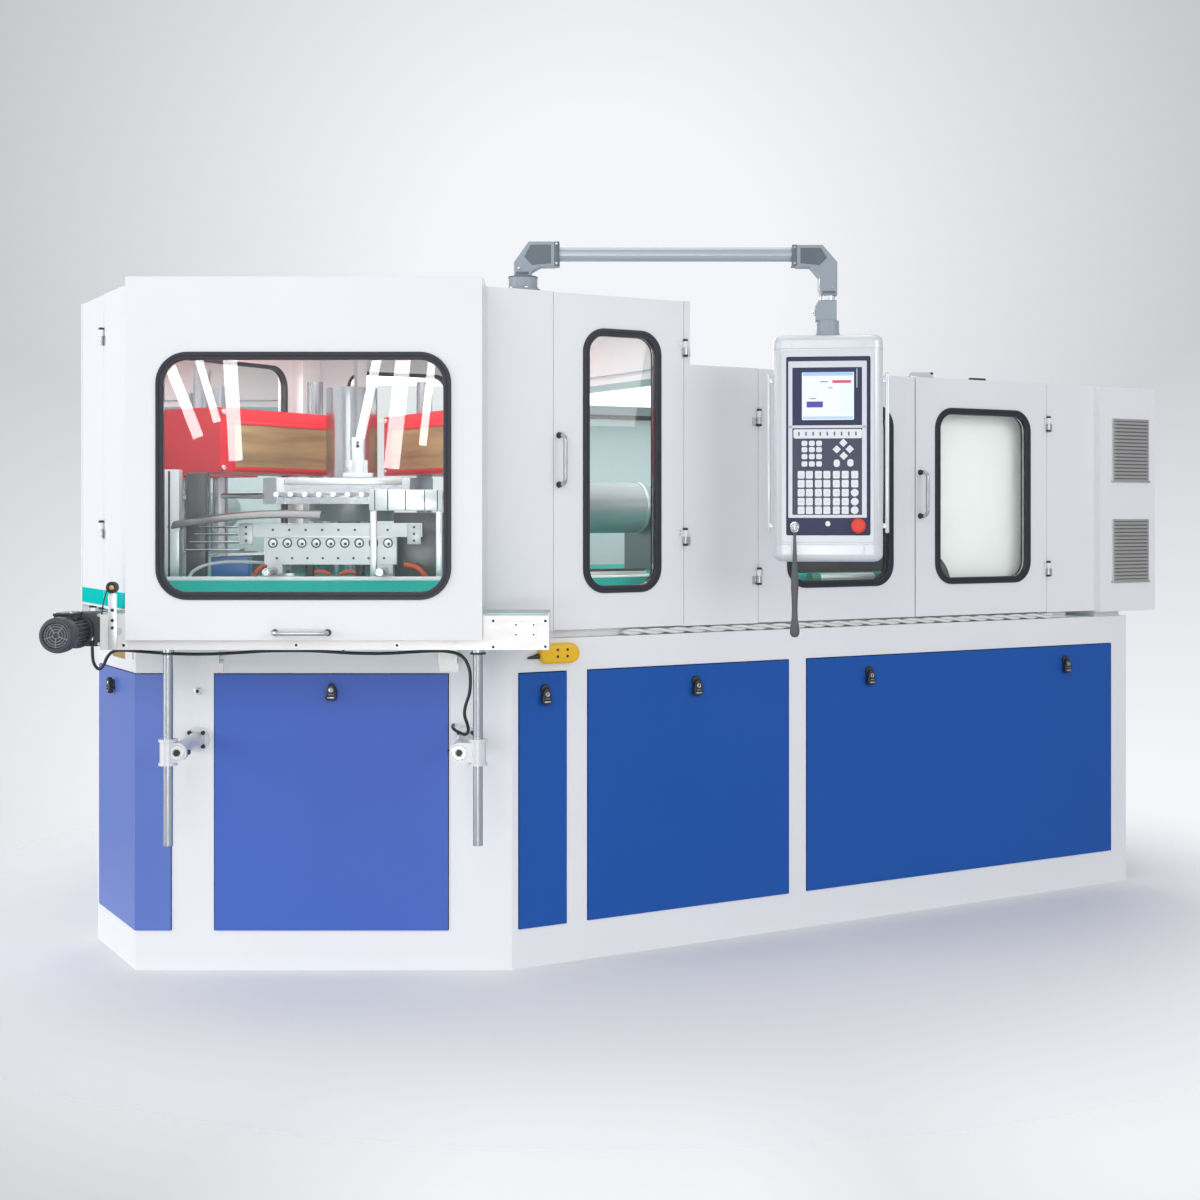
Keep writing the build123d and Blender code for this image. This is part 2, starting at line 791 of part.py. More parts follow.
hood_rubber, hood_pane = window(-hood_window_span[1], -hood_window_span[0], window_bottom, hood_window_top,
                                hood_window_radius, -hood_reach, hood_back)
save("hood_window", ejection_frame * hood_rubber, ejection_frame * hood_pane)
hood_handle_z = hood_bottom + handle_inset + 1
save("hood_handle", ejection_frame * handle(-hood_handle_along, hood_handle_z, -hood_reach, False))


# Doors
def door(span, hinge_x, top, window_span, window_top, hinge_heights):
    side = 1 if hinge_x <= span[0] else -1
    low_z = guard_bottom + door_gap
    plate = block(span[0] + door_gap, span[1] - door_gap, front_y, guard_back, low_z, top - door_gap)
    plate -= window_opening(*window_span, window_bottom, window_top, window_radius, front_y, guard_back)
    for z in hinge_heights:
        plate += hinge_moving(hinge_x, z, side, front_y)
    return plate


save("side_door", door(side_door_span, side_door_span[1], tall_height, side_window_span, tall_window_top,
                       side_hinges))
save("side_window", *window(*side_window_span, window_bottom, tall_window_top, window_radius, front_y,
                            guard_back))
save("side_handle", handle(side_door_span[0] + handle_inset, base_height + side_handle_rise, front_y, True))
save("middle_door", door(middle_door_span, middle_door_span[0], low_height, middle_window_span,
                         low_window_top, middle_hinges))
save("middle_window", *window(*middle_window_span, window_bottom, low_window_top, window_radius, front_y,
                              guard_back))
save("right_door", door(right_door_span, right_door_span[1], low_height, right_window_span, low_window_top,
                        right_hinges))
save("right_window", *window(*right_window_span, window_bottom, low_window_top, window_radius, front_y,
                             guard_back))
save("right_handle", handle(right_door_span[0] + handle_inset, base_height + right_handle_rise, front_y,
                            True))
end_plate = block(-end_door_span[1] + door_gap, -end_door_span[0] - door_gap, -overhang, -inner_offset,
                  end_guard_bottom + door_gap, tall_height - door_gap)
for z in end_hinges:
    end_plate += hinge_moving(-end_door_span[0], z, -1, -overhang)
save("end_door", end_frame * end_plate)

# Conveyor: two rails on cross bars with a slider plate, belt, rollers
rail_z = (rail_bottom + rail_top) / 2
c0, c1 = -conveyor_span[1], -conveyor_span[0]
outer_rail = block(c0, c1, -conveyor_outer, -conveyor_outer + rail_thickness, rail_bottom, rail_top)
inner_rail = block(c0, c1, -conveyor_inner - rail_thickness, -conveyor_inner, rail_bottom, rail_top)
frame = outer_rail + inner_rail
roller_spots = (c0 + roller_inset, c1 - roller_inset)
slider_top = rail_z + roller_radius
frame += block(c0 + 2 * roller_inset, c1 - 2 * roller_inset, -conveyor_outer, -conveyor_inner,
               slider_top - slider_thickness, slider_top)
half_bar = cross_bar_width / 2
for x in (c0 + cross_bar_inset, (c0 + c1) / 2, c1 - cross_bar_inset):
    frame += block(x - half_bar, x + half_bar, -conveyor_outer, -conveyor_inner, rail_bottom,
                   rail_bottom + cross_bar_height)
frame += block(c0, c0 + rail_thickness, -conveyor_outer, -conveyor_inner, rail_bottom, rail_top)
for x in roller_spots:
    frame -= cross_rod(x, rail_z, -conveyor_outer - 1, -conveyor_inner + 1, roller_shaft + shaft_clearance)
bracket_bottom = rail_bottom - bracket_drop
for along in bracket_spots:
    x0 = -along - bracket_width / 2
    x1 = -along + bracket_width / 2
    frame += block(x0, x1, -conveyor_inner, 0, bracket_bottom, bracket_bottom + bracket_plate)
    frame += block(x0, x1, -conveyor_inner - bracket_plate, -conveyor_inner, bracket_bottom,
                   rail_bottom + bracket_drop / 3)
    frame += block(x0, x1, -bracket_plate, 0, bracket_bottom - bracket_drop / 2,
                   bracket_bottom + bracket_plate)
save("conveyor_frame", ejection_frame * frame)
belt_y0 = -conveyor_outer + rail_thickness + belt_side_gap
belt_y1 = -conveyor_inner - rail_thickness - belt_side_gap
belt_inner = roller_radius + belt_clearance
middle_x = (roller_spots[0] + roller_spots[1]) / 2
loop_length = roller_spots[1] - roller_spots[0]
outer_loop = SlotCenterToCenter(loop_length, 2 * (belt_inner + belt_thickness))
inner_loop = SlotCenterToCenter(loop_length, 2 * belt_inner)
belt = extrude(Plane.XZ * (outer_loop - inner_loop), amount=belt_y1 - belt_y0)
save("conveyor_belt", ejection_frame * (Pos(middle_x, belt_y1, rail_z) * belt))


def roller(x):
    drum = cross_rod(x, rail_z, belt_y0 - 1, belt_y1 + 1, roller_radius)
    return drum + cross_rod(x, rail_z, -conveyor_outer, -conveyor_inner, roller_shaft)


save("drive_roller", ejection_frame * roller(roller_spots[0]))
save("idler_roller", ejection_frame * roller(roller_spots[1]))

# Geared motor on the conveyor's end
mx = -motor_along
mz = rail_z - motor_drop
gearbox_bottom = rail_z - gearbox_drop
gearbox = block(mx - gearbox_half, c0, -gearbox_front, -gearbox_back, gearbox_bottom,
                gearbox_bottom + gearbox_height)
gearbox = fillet(gearbox.edges().filter_by(Axis.Y).group_by(Axis.X)[0], gearbox_round)
cowl_back = -motor_front + cowl_length
body = cross_rod(mx, mz, cowl_back, -gearbox_front, motor_neck)
cowl = cross_rod(mx, mz, -motor_front, cowl_back, motor_radius)
cowl -= cross_rod(mx, mz, -motor_front - 1, -motor_front + cowl_recess, motor_radius - cowl_wall)
terminal_bottom = mz + motor_neck - terminal_height / 2
terminal_front = cowl_back + gearbox_half / 5
terminal = block(mx - terminal_half, mx + terminal_half, terminal_front, terminal_front + terminal_length,
                 terminal_bottom, terminal_bottom + terminal_height)
save("geared_motor", ejection_frame * (gearbox + body + cowl + terminal))

# Support rods and their clamps
rods = []
for along in rod_spots:
    bar = rod(-along, -rod_out, rod_bottom, rail_bottom - rod_pad_thickness, rod_radius)
    pad = rod(-along, -rod_out, rail_bottom - rod_pad_thickness, rail_bottom, rod_radius + rod_pad_rim)
    rods.append(ejection_frame * (bar + pad))
save("support_rods", *rods)
clamps = []
for along, rod_along in zip(clamp_spots, rod_spots):
    x0, x1 = sorted((-along, -rod_along))
    eye_z = clamp_height + lug_height / 8
    flange_z = eye_z + lug_height / 8
    lug_front = -rod_out - lug_half
    lug_back = -rod_out + lug_half
    flange = cross_rod(-along, flange_z, -flange_thickness, 0, flange_radius)
    tube = cross_rod(-along, flange_z, lug_back, -flange_thickness, standoff_radius)
    lug = block(x0, x1, lug_front, lug_back, eye_z - lug_height / 2, eye_z + lug_height / 2)
    eye = cross_rod(-along, eye_z, lug_front, lug_back, eye_radius)
    sleeve_bottom = eye_z - sleeve_length / 2
    sleeve = rod(-rod_along, -rod_out, sleeve_bottom, sleeve_bottom + sleeve_length, sleeve_radius)
    for z in (sleeve_bottom, sleeve_bottom + sleeve_length - rod_pad_thickness):
        sleeve += rod(-rod_along, -rod_out, z, z + rod_pad_thickness, sleeve_radius + rod_pad_rim)
    bore = rod(-rod_along, -rod_out, sleeve_bottom - 1, sleeve_bottom + sleeve_length + 1, rod_radius)
    clamps.append(ejection_frame * (flange + tube + lug + eye + sleeve - bore))
save("rod_clamps", *clamps)

# Sensor on its upright bar
sensor_x = c0 + sensor_bar_width * 1.5
bar_front = -conveyor_outer - sensor_bar_thickness
bar_top = rail_top + sensor_bar_rise
head_z = bar_top + sensor_head_rise
half_bar = sensor_bar_width / 2
bar = block(sensor_x - half_bar, sensor_x + half_bar, bar_front, -conveyor_outer, rail_bottom, bar_top)
neck = block(sensor_x - half_bar / 2, sensor_x + half_bar / 2, bar_front, -conveyor_outer, bar_top, head_z)
head = cross_rod(sensor_x, head_z, bar_front - sensor_head_length / 2, bar_front + sensor_head_length / 2,
                 sensor_head_radius)
save("sensor_post", ejection_frame * (bar + neck + head))

# Control arm
foot_top = tall_height + collar_top
save("arm_foot", rod(arm_foot_x, arm_foot_y, tall_height, tall_height + foot_plate, foot_radius)
     + rod(arm_foot_x, arm_foot_y, tall_height, foot_top, collar_radius))
arm_frame = Location((arm_foot_x, arm_foot_y, 0), (0, 0, -arm_turn))


def elbow(low, top, heel):
    """Cast elbow: a box round the tube's end, a slanted back and a foot on the upright axis."""
    half = elbow_width / 2
    toe = elbow_reach - half / 2
    belly = arm_height - half * 1.5
    crown = arm_height + top
    points = [(-half, low), (half * 0.85, low), (half, low + half * 0.4), (half, heel), (half * 2.1, belly),
              (toe, belly), (elbow_reach, arm_height - half), (elbow_reach, crown), (half * 0.7, crown),
              (-half, arm_height - half)]
    side = Plane.XZ * make_face(Polyline(*points, close=True))
    return Pos(0, half, 0) * extrude(side, amount=elbow_width, dir=(0, -1, 0))


far_elbow_bottom = arm_height - far_elbow_drop
foot_elbow = elbow(foot_top, foot_elbow_top, foot_top + elbow_width / 4)
far_elbow = Pos(arm_length, 0, 0) * mirror(
    elbow(far_elbow_bottom, far_elbow_top, arm_height - 1.4 * elbow_width), about=Plane.YZ)
tube = along_rod(elbow_reach - elbow_width / 4, arm_length - elbow_reach + elbow_width / 4, 0, arm_height,
                 tube_radius)
save("control_arm", arm_frame * (foot_elbow + tube + far_elbow))

pivot_x = arm_foot_x + arm_length * cos(radians(arm_turn))
pivot_y = arm_foot_y - arm_length * sin(radians(arm_turn))
panel_frame = Location((pivot_x, pivot_y, 0), (0, 0, -panel_turn))
half_depth = panel_depth / 2
half_panel = panel_width / 2
housing = Pos(0, 0, panel_bottom) * extrude(
    RectangleRounded(panel_width, panel_depth, panel_corner), amount=panel_height)
housing = fillet(housing.edges().group_by(Axis.Z)[0] + housing.edges().group_by(Axis.Z)[-1], panel_edge)
coupling_top = far_elbow_bottom - coupling_gap
coupling_low = coupling_top - coupling_height
half_neck = elbow_width / 2
neck = rod(0, 0, panel_top - 1, coupling_low, neck_radius)
neck += rod(0, 0, coupling_low, far_elbow_bottom, coupling_ring)
coupling_side = Plane.XZ * make_face(Polyline(
    (half_neck, coupling_low), (half_neck, coupling_top), (-half_neck, coupling_top),
    (-half_neck * 1.4, coupling_top - half_neck * 0.7), (-half_neck * 1.4, coupling_low), close=True))
neck += Pos(0, half_neck, 0) * extrude(coupling_side, amount=elbow_width, dir=(0, -1, 0))
front_local = -half_depth
bore_front = front_local - stop_bore_depth
stop_bore = cross_rod(stop_x, stop_z, bore_front, front_local + stop_bore_depth, stop_stem + stop_clearance)
lock_bore = cross_rod(lock_x, lock_z, bore_front, front_local + lock_bore_depth, key_radius + pin_clearance)
save("panel_housing", panel_frame * (housing + neck - stop_bore - lock_bore))
face = block(-face_half, face_half, front_local - face_thickness, front_local, face_bottom, face_top)
screen_back = front_local - face_thickness
barrel_front = screen_back - lock_height
collar_front = screen_back - stop_collar_height
lock_barrel = cross_rod(lock_x, lock_z, barrel_front, screen_back, lock_radius)
stop_collar = cross_rod(stop_x, stop_z, collar_front, screen_back, stop_collar_radius)
save("panel_face", panel_frame * (face + lock_barrel + stop_collar - stop_bore - lock_bore))
screen_front = screen_back - screen_thickness
save("panel_screen", panel_frame * block(-screen_half, screen_half, screen_front, screen_back,
                                         screen_bottom, screen_top))
rails = []
for side in (-1, 1):
    x_wall = side * half_panel
    x_bar = side * (half_panel + rail_offset)
    bar = rod(x_bar, -grab_setback, grab_bottom, grab_top, grab_radius)
    for z in (grab_bottom + grab_foot_inset, grab_top - grab_foot_inset):
        x0, x1 = sorted((x_wall, x_bar))
        bar += along_rod(x0, x1, -grab_setback, z, grab_radius)
    rails.append(panel_frame * bar)
save("grab_rails", *rails)
button_back = collar_front - stop_travel - 1
button = cross_rod(stop_x, stop_z, button_back - stop_height, button_back, stop_radius)
button += cross_rod(stop_x, stop_z, button_back, front_local + stop_stem_depth, stop_stem)
save("estop_button", panel_frame * button)
bow_back = barrel_front - key_length / 5
bow_front = bow_back - key_length
key = cross_rod(lock_x, lock_z, bow_back, front_local + lock_bore_depth * 0.7, key_radius)
key += block(lock_x - key_half_thickness, lock_x + key_half_thickness, bow_front, bow_back,
             lock_z - key_half_height, lock_z + key_half_height)
key -= along_rod(lock_x - key_radius, lock_x + key_radius, bow_front + key_eye + 2, lock_z, key_eye)
save("lock_key", panel_frame * key)
fob_y = (barrel_front + bow_back) / 2
ring_z = lock_z + key_radius + ring_clearance + ring_wire - ring_radius
ring = Pos(lock_x, fob_y, ring_z) * Rot(90, 0, 0) * Torus(ring_radius, ring_wire)
grip_profile = [(0, 0), (4, 0), (7, -60), (12, -150), (10, -230), (15, -300), (16, -318), (11, -332),
                (0, -338)]
grip = revolve(Plane.XZ * make_face(Polyline(*grip_profile, close=True)), Axis.Z)
save("key_fob", panel_frame * (ring + Pos(lock_x, fob_y, ring_z - ring_radius) * grip))

# Moulding stations on the teal bed
bed_front = [(bed_right, -half_width + bed_side_inset), on_face(2 * bed_inset, -bed_inset),
             left_corner(-bed_inset)]
bed_plan = bed_front + [(x, -y) for x, y in reversed(bed_front)]
save("machine_bed", prism(bed_plan, base_height, bed_top))
stations = (0, 120)
columns = [rod(turret_x, 0, bed_top, column_top, column_radius)]
for angle in stations:
    frame_at = Location((turret_x, 0, 0), (0, 0, angle))
    lower = block(station_distance - platen_depth / 2, station_distance + platen_depth / 2,
                  -platen_width / 2, platen_width / 2, bed_top, bed_top + bolster_height)
    columns.append(frame_at * lower)
    for side in (-1, 1):
        bar = rod(station_distance, side * tie_bar_offset, bed_top + bolster_height, tie_bar_top,
                  tie_bar_radius)
        columns.append(frame_at * bar)
bore_radius = column_radius + shaft_clearance
head_plan = []
for angle in (0, 120, 240):
    c, s = cos(radians(angle)), sin(radians(angle))
    for side in (-1, 1):
        y = side * turret_face_half
        head_plan.append((turret_radius * c - y * s, turret_radius * s + y * c))
head = prism(head_plan, turret_bottom, turret_top)
head = Pos(turret_x, 0, 0) * head - rod(turret_x, 0, turret_bottom - 1, turret_top + 1, bore_radius)
save("turret_head", head)
carrier = rod(turret_x, 0, carrier_bottom, turret_bottom - face_clearance, carrier_radius)
save("turret_carrier", carrier - rod(turret_x, 0, carrier_bottom - 1, turret_bottom, bore_radius))
core_rods = []
for angle in (0, 120, 240):
    face_at = Location((turret_x, 0, 0), (0, 0, angle))
    for i in range(rod_count):
        y = (i - (rod_count - 1) / 2) * rod_pitch
        core_rods.append(face_at * along_rod(turret_radius, rod_tip, y, turret_bottom + core_rod_height,
                                             core_rod_radius))
save("core_rods", *core_rods)
platens = []
for angle in stations:
    frame_at = Location((turret_x, 0, 0), (0, 0, angle))
    platen = block(station_distance - platen_depth / 2, station_distance + platen_depth / 2,
                   -platen_width / 2, platen_width / 2, platen_bottom, platen_top)
    for side in (-1, 1):
        platen -= rod(station_distance, side * tie_bar_offset, platen_bottom - 1, platen_top + 1,
                      tie_bar_radius + shaft_clearance)
    platens.append(frame_at * platen)
save("upper_platens", *platens)

# Stripper: grooved bar on two guide rods that stand on the bed
stripper_x = -face_middle
sy = stripper_setback
half_grip = stripper_width / 2
half_comb = half_grip * stripper_comb_share
comb = block(stripper_x - half_comb, stripper_x + half_comb, sy - comb_half, sy + comb_half,
             stripper_bottom, stripper_top)
comb += block(stripper_x - half_grip, stripper_x + half_grip, sy - grip_half, sy + grip_half,
              stripper_top - grip_height, stripper_top)
for i in range(rod_count):
    x = stripper_x + (i - (rod_count - 1) / 2) * rod_pitch
    comb -= cross_rod(x, stripper_top - comb_hole_drop, sy - boss_half, sy + boss_half, comb_hole)
guide_z = stripper_bottom - guide_drop
stand = []
for x in (stripper_x - guide_spacing, stripper_x + guide_spacing):
    comb += block(x - boss_half, x + boss_half, sy - boss_half, sy + boss_half, guide_z - boss_drop,
                  stripper_bottom)
    comb -= cross_rod(x, guide_z, sy - boss_half - 1, sy + boss_half + 1, guide_radius + shaft_clearance)
    bar = cross_rod(x, guide_z, *guide_span, guide_radius)
    for y in stand_spots:
        bar += block(x - stand_half, x + stand_half, y, y + stand_half, bed_top, guide_z + stand_rise)
    stand.append(ejection_frame * bar)
save("stripper_bar", ejection_frame * comb)
save("station_columns", *columns, *stand)

# Injection unit: barrel on two saddles
barrel = along_rod(*barrel_span, 0, barrel_height, barrel_radius)
for x in saddle_spots:
    barrel += block(x - saddle_half, x + saddle_half, -saddle_half_width, saddle_half_width, bed_top,
                    barrel_height)
save("injection_unit", barrel)

# Twisted pair of leads along the deck's edge, and the conveyor's cable
sill_y = -half_width + 14
sill_radius = 11
sill_z = base_height + sill_radius
sill_points = [(-430, sill_y + 1, sill_z), (-320, sill_y, sill_z), (-180, sill_y + 1, sill_z),
               (60, sill_y, sill_z), (330, sill_y + 1.5, sill_z), (620, sill_y, sill_z),
               (900, sill_y + 1, sill_z), (1180, sill_y, sill_z), (1380, sill_y + 1.5, sill_z),
               (1500, sill_y, sill_z)]


def cord(points, radius):
    """Round cable that bends smoothly near its points."""
    points = [Vector(*p) for p in points]
    radii = []
    for a, b, c in zip(points, points[1:], points[2:]):
        turn = (b - a).get_angle(c - b)
        radii.append(0.45 * min((b - a).length, (c - b).length) / tan(radians(turn / 2)))
    path = FilletPolyline(*points, radius=radii)
    start = Plane(origin=path @ 0, z_dir=path % 0)
    tube = sweep(start * Circle(radius), path=path)
    share = tube.volume / (pi * radius ** 2 * path.length)
    print("tightest bend", round(min(radii), 1), "length", round(path.length), "share", round(share, 4))
    return tube


save("sill_cable", cord(sill_points, sill_radius))
cable_radius = 5
cable_route = [(-1295, -150, -9), (-1295, -150, -40), (-1289, -151, -66), (-1273, -152.5, -82),
               (-1257, -156, -66), (-1246, -164, -40), (-1222, -180, -19), (-1180, -203, -15.5),
               (-1120, -222, -19), (-1030, -226, -25), (-925, -224, -27), (-825, -226, -22),
               (-740, -225, -16), (-660, -226, -15.5), (-590, -225, -16), (-490, -226, -23),
               (-385, -224, -25), (-300, -226, -20), (-235, -225, -16), (-180, -226, -17),
               (-138, -232, -30), (-117, -238, -67), (-114, -241, -107), (-117, -240, -147),
               (-130, -237, -180), (-135, -232, -212), (-125, -224, -240), (-122, -205, -266),
               (-136, -165, -282), (-162, -120, -278), (-187, -70, -270), (-187, 0, -270)]
cable_points = [(x, y, base_height + z) for x, y, z in cable_route]
save("drive_cable", ejection_frame * cord(cable_points, cable_radius))
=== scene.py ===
from math import cos, pi, radians, sin

import bmesh
import bpy
from mathutils import Matrix, Vector


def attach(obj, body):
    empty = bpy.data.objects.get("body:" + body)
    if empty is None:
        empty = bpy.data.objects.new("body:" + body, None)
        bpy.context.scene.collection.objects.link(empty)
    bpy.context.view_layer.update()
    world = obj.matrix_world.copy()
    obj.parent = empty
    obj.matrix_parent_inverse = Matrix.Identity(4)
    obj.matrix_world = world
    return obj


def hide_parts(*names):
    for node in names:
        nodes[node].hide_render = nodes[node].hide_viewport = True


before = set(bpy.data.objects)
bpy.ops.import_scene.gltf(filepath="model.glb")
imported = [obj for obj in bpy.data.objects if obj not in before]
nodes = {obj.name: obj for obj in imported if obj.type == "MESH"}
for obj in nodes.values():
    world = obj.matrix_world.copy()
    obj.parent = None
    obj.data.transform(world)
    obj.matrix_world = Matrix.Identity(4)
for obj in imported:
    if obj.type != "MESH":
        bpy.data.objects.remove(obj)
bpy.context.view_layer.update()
scene = bpy.context.scene
scene.view_settings.view_transform = "Standard"

# The camera stands at eye height before the slanted ejection face, level and square to it, and its
# picture is shifted so that the horizon lies where the long side's edges point.
camera = bpy.data.objects.new("camera", bpy.data.cameras.new("camera"))
camera.location = (-3.3806, -5.7866, 1.4515)
camera.rotation_euler = (radians(90), 0, radians(-30))
camera.data.sensor_width = 36
camera.data.lens = 52.17
camera.data.shift_y = -0.0708
scene.collection.objects.link(camera)
scene.camera = camera


# Leads. A twisted pair of white leads lies along the deck's edge under the doors, and a black cable
# runs from the conveyor's motor along the beam and down the right support rod into the base.
def route(name, points):
    """A smooth open spline through a cord's bends."""
    curve = bpy.data.curves.new(name, "CURVE")
    curve.dimensions = "3D"
    curve.resolution_u = 12
    spline = curve.splines.new("NURBS")
    spline.points.add(len(points) - 1)
    for knot, place in zip(spline.points, points):
        knot.co = (*place, 1)
    spline.order_u = 3
    spline.use_endpoint_u = True
    line = bpy.data.objects.new(name, curve)
    scene.collection.objects.link(line)
    return line


def mesh_of(thing):
    """A plain mesh of an object as it looks with its modifiers."""
    bpy.context.view_layer.update()
    graph = bpy.context.evaluated_depsgraph_get()
    return bpy.data.meshes.new_from_object(thing.evaluated_get(graph), depsgraph=graph)


def shader(name, colour, roughness, metallic=0.0):
    """A material with a Principled shader, and that shader."""
    made = bpy.data.materials.new(name)
    made.use_nodes = True
    surface = made.node_tree.nodes["Principled BSDF"]
    surface.inputs["Base Color"].default_value = (*colour, 1)
    surface.inputs["Roughness"].default_value = roughness
    surface.inputs["Metallic"].default_value = metallic
    return made, surface


def put(tree, kind, settings=(), **inputs):
    """A new node with its settings; each input is a plain value or a socket to join it to."""
    made = tree.nodes.new(kind)
    for name, value in dict(settings).items():
        setattr(made, name, value)
    for name, value in inputs.items():
        place = made.inputs[name.replace("_", " ")]
        if isinstance(value, bpy.types.NodeSocket):
            tree.links.new(value, place)
        else:
            place.default_value = value
    return made


def textured(name, colour, other, roughness, metallic=0.0, scale=6.0, stretch=(1, 1, 1), bump=0.0,
             fine=400.0, uneven=0.06, specular=0.5):
    """A surface whose colour wanders between two shades, with uneven gloss and a fine bump."""
    made, surface = shader(name, colour, roughness, metallic)
    surface.inputs["Specular IOR Level"].default_value = specular
    tree = made.node_tree
    join = tree.links.new
    place = put(tree, "ShaderNodeTexCoord")
    spread = put(tree, "ShaderNodeMapping", Scale=stretch, Vector=place.outputs["Object"])
    clouds = put(tree, "ShaderNodeTexNoise", Scale=scale, Detail=5, Vector=spread.outputs["Vector"])
    shades = put(tree, "ShaderNodeMix", {"data_type": "RGBA"}, A=(*colour, 1), B=(*other, 1),
                 Factor=clouds.outputs["Fac"])
    join(shades.outputs["Result"], surface.inputs["Base Color"])
    gloss = put(tree, "ShaderNodeMapRange", To_Min=roughness - uneven, To_Max=roughness + uneven,
                Value=clouds.outputs["Fac"])
    join(gloss.outputs["Result"], surface.inputs["Roughness"])
    if bump:
        grain = put(tree, "ShaderNodeTexNoise", Scale=fine, Detail=2, Vector=spread.outputs["Vector"])
        relief = put(tree, "ShaderNodeBump", Strength=bump, Distance=0.0006, Height=grain.outputs["Fac"])
        join(relief.outputs["Normal"], surface.inputs["Normal"])
    return made


white_sheath = textured("white sheath", (0.86, 0.86, 0.85), (0.74, 0.74, 0.74), 0.42, scale=30)
black_sheath = textured("black sheath", (0.012, 0.012, 0.013), (0.03, 0.03, 0.032), 0.45, scale=40)

# where the twisted pair lies, from its left end to its right end
sill_points = [(-0.430, -0.827, 1.063), (-0.320, -0.828, 1.063), (-0.180, -0.827, 1.063),
               (0.060, -0.828, 1.063),
               (0.330, -0.8265, 1.063), (0.620, -0.828, 1.063), (0.900, -0.827, 1.063),
               (1.180, -0.828, 1.063), (1.380, -0.8265, 1.063), (1.500, -0.828, 1.063)]
sill_route = route("sill_route", sill_points)
sill_line = [tuple(v.co) for v in mesh_of(sill_route).vertices]


def size_inputs(tree, *names):
    """Named inputs of a geometry tree, with its geometry in and out."""
    face = tree.interface
    face.new_socket("Geometry", in_out="INPUT", socket_type="NodeSocketGeometry")
    for name in names:
        kind = "NodeSocketMaterial" if name.lower().endswith("finish") else "NodeSocketFloat"
        face.new_socket(name, in_out="INPUT", socket_type=kind)
    face.new_socket("Geometry", in_out="OUTPUT", socket_type="NodeSocketGeometry")
    return tree.nodes.new("NodeGroupInput"), tree.nodes.new("NodeGroupOutput")


def grown(name, base, tree, **sizes):
    """The plain object that a geometry tree makes from a base, which is used up."""
    grower = base.modifiers.new(tree.name, "NODES")
    grower.node_group = tree
    for socket in tree.interface.items_tree:
        key = socket.name.replace(" ", "_").lower()
        if socket.in_out == "INPUT" and key in sizes:
            grower[socket.identifier] = sizes[key]
    made = bpy.data.objects.new(name, mesh_of(base))
    made.data.name = name
    scene.collection.objects.link(made)
    bpy.data.objects.remove(base)
    return made


def reckon(tree, operation, *terms):
    """One step of arithmetic on sockets and plain numbers, and its result."""
    step = tree.nodes.new("ShaderNodeMath")
    step.operation = operation
    for place, term in zip(step.inputs, terms):
        if isinstance(term, bpy.types.NodeSocket):
            tree.links.new(term, place)
        else:
            place.default_value = term
    return step.outputs[0]


def close_tree(tree, grown_parts, given, result):
    """Ends a geometry tree: the parts become real, in the given finish."""
    real = put(tree, "GeometryNodeRealizeInstances", Geometry=grown_parts)
    coloured = put(tree, "GeometryNodeSetMaterial", Geometry=real.outputs["Geometry"],
                   Material=given.outputs["Finish"])
    tree.links.new(coloured.outputs["Geometry"], result.inputs["Geometry"])


# Strands that wind round a line, each half a turn from the other
strand_tree = bpy.data.node_groups.new("twisted strands", "GeometryNodeTree")
given, result = size_inputs(strand_tree, "Strand radius", "Pitch", "Finish")
even = put(strand_tree, "GeometryNodeResampleCurve", Count=420, Curve=given.outputs["Geometry"])
along = put(strand_tree, "GeometryNodeSplineParameter")
turns = reckon(strand_tree, "DIVIDE", along.outputs["Length"], given.outputs["Pitch"])
strand_radius = given.outputs["Strand radius"]
sheath = put(strand_tree, "GeometryNodeCurvePrimitiveCircle", Resolution=10, Radius=strand_radius)
strands = put(strand_tree, "GeometryNodeJoinGeometry")
for phase in (0.0, 0.5):
    angle = reckon(strand_tree, "MULTIPLY", reckon(strand_tree, "ADD", turns, phase), 2 * pi)
    y, z = [reckon(strand_tree, "MULTIPLY", reckon(strand_tree, wave, angle), strand_radius)
            for wave in ("COSINE", "SINE")]
    aside = put(strand_tree, "ShaderNodeCombineXYZ", Y=y, Z=z)
    moved = put(strand_tree, "GeometryNodeSetPosition", Geometry=even.outputs["Curve"],
                Offset=aside.outputs["Vector"])
    strand = put(strand_tree, "GeometryNodeCurveToMesh", Fill_Caps=True, Curve=moved.outputs["Geometry"],
                 Profile_Curve=sheath.outputs["Curve"])
    strand_tree.links.new(strand.outputs["Mesh"], strands.inputs["Geometry"])
close_tree(strand_tree, strands.outputs["Geometry"], given, result)

twisted_pair = grown("twisted_pair", sill_route, strand_tree, strand_radius=0.0055, pitch=0.17,
                     finish=white_sheath)
for face in twisted_pair.data.polygons:
    face.use_smooth = True
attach(twisted_pair, "machine")
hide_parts("sill_cable")

to_face = Matrix.Translation((-0.85, -0.842, 0)) @ Matrix.Rotation(radians(-30), 4, "Z")
